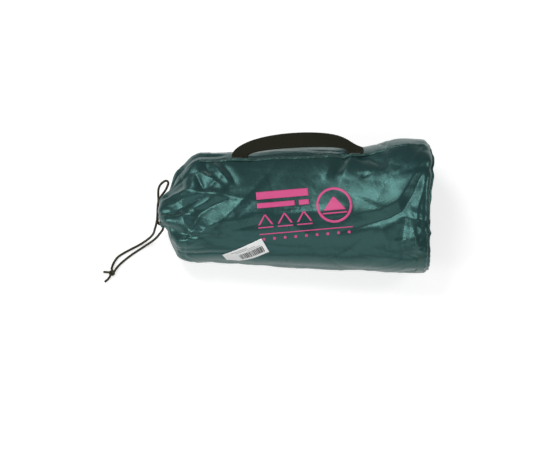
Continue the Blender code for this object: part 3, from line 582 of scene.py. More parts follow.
class Nodes:
    """Short names for building one material's node tree; place is a point in the piece's own axes."""

    def __init__(self, name):
        self.material = bpy.data.materials.new(name)
        self.material.use_nodes = True
        self.tree = self.material.node_tree
        self.place = self.add("TexCoord").outputs["Object"]

    def put(self, value, socket):
        """Links a socket to another one, or sets it to a number or a colour."""
        if isinstance(value, bpy.types.NodeSocket):
            self.tree.links.new(value, socket)
        else:
            socket.default_value = (*value, 1.0) if socket.type == "RGBA" else value

    def add(self, kind, **settings):
        """A new node; a setting is an input, its name written with _ for a space, or a property."""
        node = self.tree.nodes.new("ShaderNode" + kind)
        for key, value in settings.items():
            socket = node.inputs.get(key.replace("_", " "))
            if socket is None:
                setattr(node, key, value)
            else:
                self.put(value, socket)
        return node

    def maths(self, operation, *values):
        node = self.add("Math", operation=operation)
        for socket, value in zip(node.inputs, values):
            self.put(value, socket)
        return node.outputs[0]

    def times(self, first, second):
        return self.maths("MULTIPLY", first, second)

    def noise(self, scale, detail=3.0, roughness=0.55, place=None):
        return self.add("TexNoise", Vector=place or self.place, Scale=scale, Detail=detail,
                        Roughness=roughness).outputs["Fac"]

    def threads(self, direction, scale, distortion):
        cloth = self.add("UVMap", uv_map="Cloth").outputs[0]
        return self.add("TexWave", bands_direction=direction, Vector=cloth, Scale=scale,
                        Distortion=distortion).outputs["Fac"]

    def mix(self, share, first, second):
        node = self.add("Mix", data_type="RGBA")
        for index, value in ((0, share), (6, first), (7, second)):
            self.put(value, node.inputs[index])
        return node.outputs[2]

    def shade(self, share, colour, factor):
        """Between a colour and factor times it."""
        return self.mix(share, colour, tuple(value * factor for value in colour))

    def ramp(self, value, low, high):
        return self.add("MapRange", Value=value, From_Min=low, From_Max=high).outputs[0]

    def bump(self, height, strength, distance, **below):
        return self.add("Bump", Height=height, Strength=strength, Distance=distance,
                        **below).outputs["Normal"]

    def finish(self, **inputs):
        shader = self.tree.nodes["Principled BSDF"].inputs
        for name, value in inputs.items():
            self.put(value, shader[name.replace("_", " ")])
        return self.material


def taffeta_material(name, colour, painted_bounce_colour, painted_highlight_share=0.0):
    """Coated polyester taffeta: a fine plain weave, a tinted satin gloss, slow random colour changes, painted
    bounce light on the low side and an optional painted highlight.
    """
    nodes = Nodes(name)
    broad = nodes.ramp(nodes.noise(9.0, 2.0), 0.32, 0.70)
    # painted bounce light: from 62 mm down to 18 mm over the ground the cloth turns to the bounce colour
    painted_bounce_share = nodes.ramp(nodes.add("SeparateXYZ", Vector=nodes.place).outputs["Z"], 0.062, 0.018)
    tone_and_bounce_share = nodes.maths("MINIMUM", nodes.maths("ADD", nodes.times(broad, 0.35), painted_bounce_share), 1.0)
    mottle = nodes.ramp(nodes.noise(160.0, 4.0, 0.65), 0.30, 0.72)
    base = nodes.mix(nodes.times(mottle, 0.22), nodes.mix(tone_and_bounce_share, colour, painted_bounce_colour),
                     tuple(value * 0.86 for value in colour))
    # painted highlight: a share of pale teal is mixed evenly over the whole piece
    if painted_highlight_share:
        base = nodes.mix(painted_highlight_share, base, TEAL_PAINTED_HIGHLIGHT)
    weave = nodes.times(nodes.threads("X", 520.0, 0.4), nodes.threads("Y", 520.0, 0.4))
    crumple = nodes.bump(nodes.noise(55.0, 3.0, 0.60), 0.22, 0.0022)
    return nodes.finish(
        Base_Color=base, Normal=nodes.bump(weave, 0.18, 0.00008, Normal=crumple),
        Roughness=nodes.add("MapRange", Value=mottle, To_Min=0.26, To_Max=0.34).outputs[0],
        Specular_IOR_Level=0.80, Specular_Tint=(0.43, 1.0, 0.92),
        Sheen_Weight=0.02, Sheen_Tint=(0.45, 0.80, 0.78))


def webbing_material(name, colour):
    """Ribbed woven webbing, matt, with light wear on the ribs."""
    nodes = Nodes(name)
    weave = nodes.maths("ADD", nodes.threads("Y", 160.0, 0.3),
                        nodes.times(nodes.threads("X", 230.0, 0.5), 0.6))
    worn = nodes.times(nodes.times(weave, nodes.noise(900.0, 2.0)), 0.50)
    light = tuple(min(value * 1.6 + 0.002, 1.0) for value in colour)
    return nodes.finish(Base_Color=nodes.mix(worn, colour, light), Normal=nodes.bump(weave, 0.55, 0.00035),
                        Roughness=0.74, Specular_IOR_Level=0.20, Sheen_Weight=0.04,
                        Sheen_Tint=(0.55, 0.50, 0.36))


def cord_material(name, colour):
    nodes = Nodes(name)
    fibres = nodes.noise(1400.0, 3.0, 0.7)
    share = nodes.times(nodes.times(fibres, nodes.noise(120.0, 2.0)), 1.1)
    return nodes.finish(Base_Color=nodes.shade(share, colour, 2.4), Normal=nodes.bump(fibres, 0.5, 0.0002),
                        Roughness=0.70, Specular_IOR_Level=0.35, Sheen_Weight=0.15,
                        Sheen_Tint=(0.6, 0.55, 0.4))


def paper_material(name, colour):
    nodes = Nodes(name)
    handled = nodes.times(nodes.ramp(nodes.noise(60.0, 2.0), 0.35, 0.75), 0.30)
    return nodes.finish(Base_Color=nodes.shade(handled, colour, 0.93), Roughness=0.42, Coat_Weight=0.12,
                        Normal=nodes.bump(nodes.noise(700.0), 0.12, 0.0001))


def print_material(name, colour):
    """Screen-printed ink that follows the cloth, a little worn on the weave."""
    nodes = Nodes(name)
    worn = nodes.times(nodes.ramp(nodes.noise(900.0), 0.50, 0.78), 0.35)
    return nodes.finish(Base_Color=nodes.shade(worn, colour, 0.62), Roughness=0.48, Specular_IOR_Level=0.45,
                        Normal=nodes.bump(nodes.noise(1300.0, 2.0), 0.15, 0.0001))


def metal_material(name, colour):
    nodes = Nodes(name)
    stretched = nodes.add("Mapping", Vector=nodes.place, Scale=(40.0, 900.0, 900.0)).outputs[0]
    drawn = nodes.noise(1.0, place=stretched)
    return nodes.finish(Base_Color=nodes.shade(nodes.times(drawn, 0.35), colour, 0.7), Metallic=1.0,
                        Roughness=0.30, Normal=nodes.bump(drawn, 0.2, 0.0001))


def plastic_material(name, colour):
    nodes = Nodes(name)
    grain = nodes.noise(1600.0, 2.0)
    return nodes.finish(Base_Color=nodes.shade(nodes.times(grain, 0.4), colour, 1.5), Roughness=0.45,
                        Normal=nodes.bump(grain, 0.2, 0.00008))


# The camera comes first, then the cords ------------------------------------------------------------

def make_camera():
    camera = bpy.data.objects.new("camera", bpy.data.cameras.new("camera"))
    bpy.context.scene.collection.objects.link(camera)
    camera.data.sensor_width = SENSOR_WIDTH
    camera.data.lens = SENSOR_WIDTH / 2 / (VIEW_WIDTH / 2 / CAMERA_DISTANCE)
    target = Vector(CAMERA_TARGET) + SHIFT
    camera.location = target + CAMERA_DISTANCE * Vector(TO_CAMERA)
    camera.rotation_euler = (target - camera.location).to_track_quat("-Z", "Y").to_euler()
    bpy.context.scene.camera = camera


def hem_cord_point(angle):
    turn = radians(angle)
    return Vector((HEM_X, MOUTH_Y + HEM_RADIUS * cos(turn), MOUTH_Z + HEM_RADIUS * sin(turn)))


def knot_strand(start, end, turned):
    """One tail through the knot: from a run, once round the other tail, and out into its end."""
    place = Matrix.Translation(KNOT_PLACE) @ Matrix.Rotation(radians(KNOT_HEADING), 4, "Z")
    points = []
    for share in shares(9):
        turn = radians(turned + 400.0 * share)
        points.append(place @ Vector((0.0026 * cos(turn), 0.0024 * sin(turn),
                                      lerp(0.0016, -0.0010, share) + 0.0006 * sin(2 * turn))))
    return smooth_route([start, *points, end], 0.0004)


def make_drawcord(material):
    """The cord in its hem, the knot in both tails, their ends, and the two runs from the hem to the knot."""
    half = SLIT_OPENING / 2 + CORD_TUCKED_IN
    run_start, run_end = SLIT_ANGLE + half, SLIT_ANGLE + 360.0 - half
    hidden = [hem_cord_point(lerp(run_start, run_end, share)) for share in shares(90)]
    make_piece("cord_in_hem", *braid(hidden, CORD_DIAMETER, sides=12), material, "cord", "drawcord_in_hem")
    strands = [braid(knot_strand(*tail), CORD_DIAMETER * 0.94)
               for tail in ((UPPER_ROUTE[-1], LONG_END_ROUTE[0], 70.0),
                            (LOWER_ROUTE[-1], SHORT_END_ROUTE[0], -20.0))]
    carried = [make_piece("knot", *join(strands), material, "cord", "drawcord_knot")]
    for name, route in (("end_long", LONG_END_ROUTE), ("end_short", SHORT_END_ROUTE)):
        points = smooth_route(route, 0.0004)
        taper = [1.0 + 0.16 * ease(0.82, 1.0, index / len(points)) for index in range(len(points))]
        carried.append(make_piece("cord_" + name, *braid(points, CORD_DIAMETER, taper=taper), material,
                                  "cord", "drawcord_" + name))
    gap_turn = degrees(1.5 * GAP / HEM_RADIUS)
    for name, angle, heading, route, along in (
            ("upper", run_start - gap_turn, -1, UPPER_ROUTE, carried),
            ("lower", run_end + gap_turn, 1, LOWER_ROUTE, [])):
        leave = hem_cord_point(angle)
        lead = leave + (hem_cord_point(angle + heading) - leave).normalized() * CORD_LEAD
        points = smooth_route([leave, lead, *route], 0.0005)
        piece = make_piece("cord_" + name, *braid(points, CORD_DIAMETER), material, "cord",
                           "drawcord_%s_run" % name)
        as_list(along)


# The sack -----------------------------------------------------------------------------------------

def along_table(pixels, table):
    places, shifts = np.array(table, float).reshape(-1, 2).T
    return np.interp(pixels, places, shifts)


class Sack:
    """The visible sack: the solids' sections with the cloth's folds worked into them."""

    def __init__(self):
        self.angles = 2 * np.pi * np.arange(AROUND) / AROUND
        stations = [tube_section(corner_x(78.0 * (1.0 - share))) for share in shares(CORNER_RINGS)[:-1]]
        stations += [tube_section(lerp(corner_x(0.0), SHOULDER_X, share)) for share in shares(TUBE_RINGS)]
        stations += [cap_section(90.0 * share * (1.3 - 0.3 * share)) for share in shares(CAP_RINGS)[1:]]
        self.rings = len(stations)
        self.grid = np.stack([section.points(self.angles) for section in stations])
        self.smooth = self.grid.copy()
        around = np.roll(self.grid, -1, axis=1) - np.roll(self.grid, 1, axis=1)
        normals = np.cross(np.gradient(self.grid, axis=0), around)
        self.normals = normals / np.maximum(np.linalg.norm(normals, axis=2, keepdims=True), 1e-12)
        self.shown = smoothstep(0.02, 0.30, self.normals @ np.array(TO_CAMERA))
        self.fold()

    def seen_pixels(self):
        up = sin(TILT) * self.grid[..., 1] + cos(TILT) * self.grid[..., 2]
        return PIXEL_X0 + PIXELS_PER_METRE * self.grid[..., 0], PIXEL_Y0 - PIXELS_PER_METRE * up

    def photo_folds(self):
        """Folds placed where the photograph shows them, on the side that it sees."""
        across, down = self.seen_pixels()
        total = np.zeros_like(across)
        for route, tenths, left_reach, right_reach in PHOTO_FOLDS:
            route = np.array(route, float).reshape(-1, 2)
            steps = np.diff(route, axis=0)
            lengths = np.linalg.norm(steps, axis=1)
            travelled = np.concatenate([[0.0], np.cumsum(lengths)])
            nearest, reach, where = np.full_like(across, 1e9), np.ones_like(across), np.zeros_like(across)
            for start, step, length, before in zip(route, steps, lengths, travelled):
                off_across, off_down = across - start[0], down - start[1]
                share = np.clip((off_across * step[0] + off_down * step[1]) / length ** 2, 0.0, 1.0)
                distance = np.hypot(off_across - share * step[0], off_down - share * step[1])
                turned_right = step[0] * off_down - step[1] * off_across > 0
                closer = distance < nearest
                nearest = np.where(closer, distance, nearest)
                reach = np.where(closer, np.where(turned_right, right_reach, left_reach), reach)
                where = np.where(closer, (before + share * length) / travelled[-1], where)
            fade = np.clip(np.sin(np.pi * (0.04 + 0.92 * where)), 0.0, 1.0) ** 0.6
            total += tenths / 10000 * np.exp(-(nearest / reach) ** 1.3) * fade
        return total * self.shown

    def match_outline(self):
        """Moves the long edges and the base along the picture to where the photograph has them."""
        across, down = self.seen_pixels()
        top, bottom = down.min(axis=1, keepdims=True), down.max(axis=1, keepdims=True)
        place = ((top + bottom) / 2 - down) / np.maximum((bottom - top) / 2, 1.0)
        for table, side in ((TOP_EDGE_SHIFT, 1.0), (BOTTOM_EDGE_SHIFT, -1.0)):
            moved = along_table(across, table) * smoothstep(0.35, 0.95, place * side) / PIXELS_PER_METRE
            self.grid = self.grid + np.array(PICTURE_UP) * moved[..., None]
        near_base = smoothstep(0.120, BASE_SEAM_X, self.grid[..., 0])
        self.grid[..., 0] += along_table(down, BASE_EDGE_SHIFT) * near_base * 0.5 / PIXELS_PER_METRE

    def calm(self):
        """Share of the loose creases and swells that is left where the cloth is pulled smooth."""
        across, down = self.seen_pixels()
        left = np.ones_like(across)
        for middle_across, middle_down, half_across, half_down, share in CALM_PLACES:
            out = np.hypot((across - middle_across) / half_across, (down - middle_down) / half_down)
            left *= share + (1.0 - share) * smoothstep(0.75, 1.25, out)
        return 1.0 - self.shown * (1.0 - left)

    def end_fold(self, past, start, reach, drift, height, width):
        """A fold that starts at one end of the tube and drifts round it as it dies away."""
        apart = np.angle(np.exp(1j * (self.angles - start - drift * past)))
        return height * np.exp(-(past / reach) ** 2) * np.exp(-(np.abs(apart) / width) ** 1.3)

    def mouth_folds(self, chance):
        """Long folds that run out from the gathered mouth and die away along the tube."""
        past = self.grid[..., 0] - MOUTH_X
        total, count = np.zeros_like(past), 26
        for number in range(count):
            start = 2 * pi * (number + chance.uniform(-0.35, 0.35)) / count
            reach, drift = chance.uniform(0.05, 0.14), chance.uniform(-2.2, 2.2)
            height = chance.uniform(0.0010, 0.0026) * chance.choice((-1, 1))
            total += self.end_fold(past, start, reach, drift, height, chance.uniform(0.050, 0.085))
        return total * smoothstep(0.0, 0.016, past)

    def base_puckers(self, chance):
        """Short gathers where the tube is sewn to the round base."""
        inward = BASE_SEAM_X - self.grid[..., 0]
        total = np.zeros_like(inward)
        for _ in range(22):
            start, reach = chance.uniform(0, 2 * pi), chance.uniform(0.018, 0.060)
            drift = chance.uniform(-4.0, 4.0)
            height = chance.uniform(0.0007, 0.0020) * chance.choice((-1, 1))
            total += self.end_fold(inward, start, reach, drift, height, 0.055)
        total *= 0.25 + 0.75 * smoothstep(0.0, 0.016, inward)
        wave = (0.55 * np.sin(23 * self.angles + 0.6) + 0.45 * np.sin(37 * self.angles + 2.0)
                + 0.35 * np.sin(11 * self.angles + 1.1))
        return total + 0.0004 * wave * np.exp(-(inward / 0.020) ** 1.2)

    def loose_creases(self, chance):
        """Creases of handled cloth, sharp along the crest, over every side of the sack."""
        total = np.zeros(self.grid.shape[:2])
        lengthways = np.array((1.0, 0.0, 0.0))
        for _ in range(170):
            ring = chance.randrange(CORNER_RINGS, self.rings - CAP_RINGS // 2)
            step = chance.randrange(AROUND)
            offset, normal = self.grid - self.grid[ring, step], self.normals[ring, step]
            side = np.cross(normal, lengthways)
            turn = chance.gauss(0.0, 0.75)
            heading = lengthways * cos(turn) + side / np.linalg.norm(side) * sin(turn)
            length, width = chance.uniform(0.012, 0.050), chance.uniform(0.0022, 0.0060)
            height = chance.uniform(0.0003, 0.0011) * chance.choice((-1, 1))
            run = offset @ heading
            apart = offset @ np.cross(normal, heading) + chance.uniform(-9.0, 9.0) * run ** 2
            local = np.exp(-(np.abs(run) / length) ** 3) * (np.abs(offset @ normal) < 0.02)
            total += height * local * np.exp(-(np.abs(apart) / width) ** 1.15)
        return total

    def broad_swells(self):
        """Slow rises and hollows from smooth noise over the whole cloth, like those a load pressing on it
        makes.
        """
        values = [noise.noise(Vector((x * 13.0, y * 17.0 + 3.0, z * 17.0)))
                  + 0.45 * noise.noise(Vector((x * 34.0 + 5.0, y * 38.0, z * 38.0)))
                  for x, y, z in self.grid.reshape(-1, 3)]
        return 0.0024 * np.reshape(values, self.grid.shape[:2])

    def hang_over_mouth(self):
        """Draws the slack cloth above the mouth out over it, as the photograph shows it from above."""
        x, y, z = (self.smooth[..., axis] for axis in range(3))
        share = window(*OVERHANG_HEIGHTS, z) * smoothstep(SHOULDER_X - 0.014, SHOULDER_X - 0.032, x)
        share = share * np.exp(-(np.abs(y - OVERHANG_Y) / OVERHANG_HALF_WIDTH) ** 4)
        self.grid[..., 0] -= OVERHANG_REACH * share
        self.grid[..., 2] += OVERHANG_RISE * share

    def fold(self):
        chance = random.Random(11)
        lift = self.photo_folds() + self.mouth_folds(chance) + self.base_puckers(chance)
        lift += (self.loose_creases(chance) + self.broad_swells()) * self.calm()
        x, angles = self.grid[..., 0], np.degrees(self.angles)
        off_middle = np.abs(x - HANDLE_CENTRE_X)
        near_ends = window(*HANDLE_END_X, off_middle) * window(*HANDLE_END_ANGLES, angles)
        under_handle = smoothstep(*UNDER_HANDLE_X, off_middle) * smoothstep(*UNDER_HANDLE_ANGLES, angles)
        lift = np.where(lift > 0, lift * (1.0 - 0.7 * under_handle), lift)
        lift = lift * (1.0 - near_ends) + np.minimum(lift, 0.0) * 0.5 * near_ends
        lift *= smoothstep(0.0, 0.010, x - MOUTH_X)
        self.grid = self.grid + self.normals * lift[..., None]
        self.match_outline()
        self.hang_over_mouth()
        self.grid[..., 2] = np.maximum(self.grid[..., 2], 0.0002)
        self.tree = BVHTree.FromPolygons([Vector(point) for point in self.grid.reshape(-1, 3)],
                                         grid_faces(self.rings, AROUND))

    def onto(self, place, normal):
        """The folded cloth's point under a place on the plain surface."""
        hit = self.tree.ray_cast(place + normal * 0.02, -normal, 0.05)[0]
        return place if hit is None else hit

    def make(self, material):
        steps = np.linalg.norm(self.smooth[60] - np.roll(self.smooth[60], 1, axis=0), axis=1)
        round_by = np.cumsum(steps) - steps[0]
        along = [0.0, *np.cumsum(np.linalg.norm(np.diff(self.smooth[:, AROUND // 4], axis=0), axis=1))]

        def uv(loop, _):
            ring, column = divmod(loop.vertex_index, AROUND)
            wraps = column == 0 and loop.index // 4 % AROUND == AROUND - 1
            return round_by[column] + wraps * round_by[-1] * AROUND / (AROUND - 1), along[ring]

        make_piece("sack", self.grid.reshape(-1, 3), grid_faces(self.rings, AROUND), material, "taffeta",
                   "sack_body", uv=uv, wall=SACK_WALL)

    def make_base(self, material):
        """The round base panel, sewn to the rim with a puckered edge and pushed out by the load."""
        rim, steps, rings = self.grid[0], 34, []
        centre = rim.mean(axis=0)
        heights = (rim - centre) @ np.array(PICTURE_UP)
        dome = (BASE_DOME + SACK_WALL) * (0.62 + 0.22 * heights / np.abs(heights).max())
        puckers = 0.0009 * np.sin(19 * self.angles + 0.8) + 0.0006 * np.sin(31 * self.angles + 2.6)
        for inward in shares(steps)[:-1]:
            share = 1.0 - inward
            ring = centre + (rim - centre) * share
            ring[:, 0] += 0.0006 + lerp(dome.mean(), dome, share) * (1.0 - share ** 2)
            ring[:, 0] += puckers * exp(-(inward / 0.22) ** 2) * min(inward / 0.04, 1.0)
            ring[:, 0] -= 0.0012 * exp(-((inward - 0.03) / 0.025) ** 2)
            for point in ring:
                slow = noise.noise(Vector((point[1] * 34.0, point[2] * 34.0, 7.0)))
                fine = noise.noise(Vector((point[1] * 95.0, point[2] * 95.0, 2.0)))
                point[0] += (0.0015 * slow + 0.0005 * fine) * (1.0 - share ** 4)
            rings.append(ring)
        faces, last = grid_faces(steps, AROUND, flip=True), (steps - 1) * AROUND
        faces += [(last + i, last + (i + 1) % AROUND, steps * AROUND) for i in range(AROUND)]
        make_piece("base_disc", [*np.concatenate(rings), rings[-1].mean(axis=0)], faces, material,
                   "taffeta", "base_panel", uv=lambda _, point: point.yz, wall=SACK_WALL)

    def make_rim_seam(self, material):
        """The turned seam allowance where the base is sewn in: a narrow piping all round the rim."""
        rim, sides, vertices = self.grid[0], 10, []
        centre = rim.mean(axis=0)
        for angle, place in zip(self.angles, rim):
            out = (place - centre) * (0.0, 1.0, 1.0)
            out = Vector(out / np.linalg.norm(out))
            radius = 0.0012 + 0.0003 * (0.5 + 0.5 * sin(13 * angle + 1.3) * sin(7 * angle))
            middle = Vector(place) + Vector((0.0009, 0.0, 0.0)) - out * 0.0004
            for side in range(sides):
                turn = 2 * pi * side / sides
                point = middle + out * radius * cos(turn) + Vector((radius * 1.25 * sin(turn), 0, 0))
                vertices.append((point.x, point.y, max(point.z, 0.0)))
        make_piece("base_rim_seam", vertices, grid_faces(AROUND, sides, looped=True), material, "taffeta")

    def make_inner_tape(self, material):
        """The binding inside the base seam, hidden by the cloth as on the real sack."""
        inset = SOLID_WALL + GAP * 1.5
        deep = inset + SEAM_TAPE_THICKNESS
        far_x = BASE_SEAM_X - SEAM_TAPE_INSET_X
        near_x = far_x - SEAM_TAPE_WIDTH
        rings = []
        for x, depth in ((far_x, inset), (near_x, inset), (near_x, deep), (far_x, deep)):
            ring = tube_section(x).points(self.angles)
            out = ring - ring.mean(axis=0)
            ring = ring - out / np.linalg.norm(out, axis=1, keepdims=True) * depth
            ring[:, 2] = np.maximum(ring[:, 2], depth)
            ring[:, 0] += 0.0003 * np.sin(31 * self.angles)
            rings.append(ring)
        make_piece("base_binding", np.concatenate(rings), grid_faces(4, AROUND, looped=True), material,
                   "taffeta", "base_seam_tape", smooth=False)


def make_hem(material):
    """The gathered tunnel round the drawn mouth, open at the slit where the cord comes out."""
    steps, around, vertices = 300, 26, []
    chance = random.Random(5)
    phases = [chance.uniform(0.0, 2 * pi) for _ in range(4)]
    for share in shares(steps):
        angle = radians(SLIT_ANGLE + SLIT_OPENING / 2 + (360.0 - SLIT_OPENING) * share)
        outward = Vector((0.0, cos(angle), sin(angle)))
        gather = 0.5 + 0.5 * cos(PLEATS * angle + 0.5 * sin(3 * angle + phases[0]))
        small = 0.5 + 0.5 * sin(31 * angle + phases[1])
        bulge = HEM_PLEAT_BULGE * gather ** 0.7 + 0.0005 * small
        ends = 1.0 - 0.12 * exp(-(min(share, 1.0 - share) / 0.02) ** 2)
        half_length = HEM_LENGTH / 2 * (0.94 + 0.08 * gather) * ends
        for side in range(around):
            turn = 2 * pi * side / around
            out = HEM_THICKNESS / 2 * ends + bulge * max(cos(turn), 0.0) ** 0.6
            crimp = 0.0004 * sin(2 * turn + phases[2]) * sin(PLEATS * angle + phases[3])
            vertices.append(Vector((HEM_X + half_length * sin(turn), MOUTH_Y, MOUTH_Z))
                            + outward * (HEM_RADIUS + out * cos(turn) + crimp))
    make_piece("mouth_tunnel", vertices, grid_faces(steps + 1, around, flip=True), material, "taffeta",
               "mouth_hem", uv=grid_uv(around, 0.00027, 0.0011), wall=0.0005)


def make_side_seam(sack, material, thread):
    """The felled side seam: a narrow raised ridge with a line of stitches along each edge."""
    start_x, end_x = SHOULDER_X, corner_x(0.0)
    steps, rows = 260, 9
    vertices, crest = [], []
    for done in shares(steps):
        x = lerp(start_x, end_x, done)
        place, normal, around = surface_frame(x, radians(SEAM_ANGLE))
        base = sack.onto(place, normal)
        cover = float(window(*SEAM_COVER, abs(x - HANDLE_CENTRE_X)))
        low = (WEBBING_THICKNESS + 0.0002) * cover - 0.0003
        height = 0.0014 + 0.0003 * sin(x * 310.0) + 0.0002 * sin(x * 770.0 + 1.0)
        wander = 0.0005 * sin(x * 95.0 + 0.4)
        for row in range(rows):
            share = row / (rows - 1) * 2.0 - 1.0
            across = SEAM_HALF * share * (1.0 + 0.25 * cover) + wander
            crown = (1.0 - abs(share) ** 2.6) * height
            vertices.append(base + around * across + normal * (low * (1.0 - abs(share) ** 6) + crown))
        crest.append((base + normal * (low + height * 0.86), normal, around, wander))
    make_piece("side_seam", vertices, grid_faces(steps + 1, rows, closed=False, flip=True), material,
               "taffeta", "side_seam_ridge", wall=0.0003,
               uv=grid_uv(rows, (end_x - start_x) / steps, 2 * SEAM_HALF / rows))
    places = []
    for index in range(4, steps - 3, 3):
        point, normal, around, wander = crest[index]
        along = (crest[index + 1][0] - crest[index - 1][0]).normalized()
        places += [(point + around * (SEAM_HALF * share + wander) - normal * 0.0001, along, normal)
                   for share in (-0.55, 0.55)]
    stitches("side_seam_thread", places, 0.0024, 0.00022, thread)


# The handle ---------------------------------------------------------------------------------------

def hinge_line():
    """Middle of the handle's hinge in sack coordinates, with its axis, reach and face directions."""
    ends = []
    for side in (-1, 1):
        x = HANDLE_CENTRE_X + side * (HANDLE_INNER_SPAN + HANDLE_OUTER_SPAN) / 4
        place, normal, _ = surface_frame(x, radians(HANDLE_ANGLE))
        ends.append(place + normal * WEBBING_LIFT)
    axis = (ends[1] - ends[0]).normalized()
    tilt = radians(HANDLE_REST_TILT)
    reach = Vector((0.0, cos(tilt), sin(tilt)))
    reach = (reach - axis * reach.dot(axis)).normalized()
    return (ends[0] + ends[1]) / 2, axis, reach, axis.cross(reach)


def sewn_end(middle, axis, side):
    rows = []
    for done in shares(STRAP_TAIL_STEPS)[:-1]:
        row = []
        for share in shares(STRAP_COLUMNS):
            x = (middle + axis * side * lerp(HANDLE_INNER_SPAN, HANDLE_OUTER_SPAN, share) / 2).x
            angle = angle_after(x, radians(HANDLE_ANGLE), HANDLE_TAB_LENGTH * (1.0 - done))
            place, normal, _ = surface_frame(x, angle)
            row.append(place + normal * WEBBING_LIFT)
        rows.append(row)
    return rows


def strap_rows(middle, axis, reach, face):
    """Rows of points along the webbing's middle: one sewn end, the D-shaped loop, the other end."""
    rows = sewn_end(middle, axis, 1)
    for turned in shares(STRAP_LOOP_STEPS):
        angle = pi * turned
        rise = sin(angle)
        arch = HANDLE_ARCH * ease(0.15, 0.9, rise)
        drawn = 0.0035 * max(cos(angle), 0.0) * ease(0.0, 0.5, rise)
        dip = 0.0042 * exp(-((angle - 0.46) / 0.30) ** 2) * ease(0.0, 0.3, rise)
        row = []
        for share in shares(STRAP_COLUMNS):
            across = lerp(HANDLE_INNER_SPAN / 2, HANDLE_OUTER_SPAN / 2, share) - drawn * share
            out = lerp(HANDLE_INNER_REACH - 0.0024, HANDLE_OUTER_REACH - 0.0034, share) * rise
            crown = 0.0010 * (1.0 - (2.0 * share - 1.0) ** 2) * rise
            row.append(middle + axis * across * cos(angle) + reach * (STRAP_START + out - dip * share)
                       + face * (arch + crown))
        rows.append(row)
    rows += reversed(sewn_end(middle, axis, -1))
    bends = STRAP_TAIL_STEPS, STRAP_TAIL_STEPS + STRAP_LOOP_STEPS
    for _ in range(6):
        rounded = list(rows)
        for index in range(1, len(rows) - 1):
            if min(abs(index - bend) for bend in bends) <= 4:
                rounded[index] = [(before + here * 2 + after) / 4
                                  for before, here, after in zip(*rows[index - 1:index + 2])]
        rows = rounded
    return rows


def make_strap(material, thread):
    """The whole handle in one length of webbing: both sewn ends and the D between them."""
    middle, axis, reach, face = hinge_line()
    grid = np.array([[tuple(point) for point in row] for row in strap_rows(middle, axis, reach, face)])
    along, across = np.gradient(grid, axis=0), np.gradient(grid, axis=1)
    normals = np.cross(along, across)
    normals /= np.linalg.norm(normals, axis=2, keepdims=True)
    normals *= np.sign(normals[len(grid) // 2, STRAP_COLUMNS // 2, 2])
    edge = np.abs(np.array(shares(STRAP_COLUMNS)) * 2.0 - 1.0)
    selvedge = 1.0 + 0.12 * smoothstep(0.80, 0.92, edge) - 0.55 * smoothstep(0.93, 1.0, edge)
    half_thick = normals * (WEBBING_THICKNESS / 2 * selvedge)[:, None]
    top, under = grid + half_thick, grid - half_thick
    count = 2 * (STRAP_COLUMNS + 1)
    steps = np.linalg.norm(np.diff(grid[:, STRAP_COLUMNS // 2], axis=0), axis=1)
    travelled = [0.0, *np.cumsum(steps)]
    column_width = (HANDLE_OUTER_SPAN - HANDLE_INNER_SPAN) / 2 / STRAP_COLUMNS

    def uv(loop, _):
        row, column = divmod(loop.vertex_index, count)
        return min(column, count - 1 - column) * column_width, travelled[row]

    piece = make_piece("handle_webbing", np.concatenate([top, under[:, ::-1]], axis=1).reshape(-1, 3),
                       grid_faces(len(grid), count, ends=True), material, "webbing", "handle_strap",
                       "handle_end_left", "handle_end_right", body=None, uv=uv)
    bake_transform(piece)

    def sew(name, places, headings, length, radius, body):
        stitches(name, [(Vector(top[place]), Vector(headings[place]).normalized(), Vector(normals[place]))
                        for place in places], length, radius, thread, body)

    free_rows = range(STRAP_TAIL_STEPS + 17, STRAP_TAIL_STEPS + STRAP_LOOP_STEPS - 17, 2)
    sew("handle_thread", [(row, column) for column in (1, STRAP_COLUMNS - 1) for row in free_rows],
        along, 0.0034, 0.00020, "handle")
    sew("handle_tack_thread", [(row, column) for row in (3, 7, len(grid) - 11, len(grid) - 7)
                               for column in range(1, STRAP_COLUMNS)], across, 0.0013, 0.00022, "root")


# Label and print ----------------------------------------------------------------------------------

class LabelSheet:
    """Places on the label: along and across in metres from its middle, and a height over the paper.

    Paper spans the small folds, so its surface is the cloth's own, smoothed over a grid.
    """

    def __init__(self, sack):
        turn = radians(LABEL_TURN)
        places, normals = [], []
        for row in shares(LABEL_ROWS):
            for column in shares(LABEL_COLUMNS):
                along, across = LABEL_LENGTH * (column - 0.5), LABEL_WIDTH * (row - 0.5)
                x = LABEL_X + along * cos(turn) - across * sin(turn)
                round_by = along * sin(turn) + across * cos(turn)
                place, normal, _ = surface_frame(x, angle_after(x, radians(LABEL_ANGLE), round_by))
                places.append(tuple(sack.onto(place, normal)))
                normals.append(tuple(normal))
        cloth = np.array(places).reshape(LABEL_ROWS + 1, LABEL_COLUMNS + 1, 3)
        self.normals = np.array(normals).reshape(cloth.shape)
        smooth = cloth
        for _ in range(30):
            padded = np.pad(smooth, ((1, 1), (1, 1), (0, 0)), mode="reflect", reflect_type="odd")
            smooth = (padded[:-2, 1:-1] + padded[2:, 1:-1] + padded[1:-1, :-2] + padded[1:-1, 2:]) / 4
        over = ((cloth - smooth) * self.normals).sum(axis=2)
        self.grid = smooth + self.normals * max(float(over.max()) * 0.8, 0.0)

    def point(self, along, across, height=0.0):
        column = (along / LABEL_LENGTH + 0.5) * LABEL_COLUMNS
        row = (across / LABEL_WIDTH + 0.5) * LABEL_ROWS
        left, top = int(np.clip(column, 0, LABEL_COLUMNS - 1)), int(np.clip(row, 0, LABEL_ROWS - 1))
        upper, lower = lerp(self.grid[top:top + 2, left], self.grid[top:top + 2, left + 1], column - left)
        # The loose corner at the lower left lifts off the cloth, and both ends a little
        height += 0.0026 * ease(0.0, 0.010, -along * 0.66 + across * 0.75 - 0.0165)
        height += 0.0005 * ease(0.024, 0.029, abs(along)) + 0.0003
        return Vector(lerp(upper, lower, row - top)) + Vector(self.normals[top, left]) * height


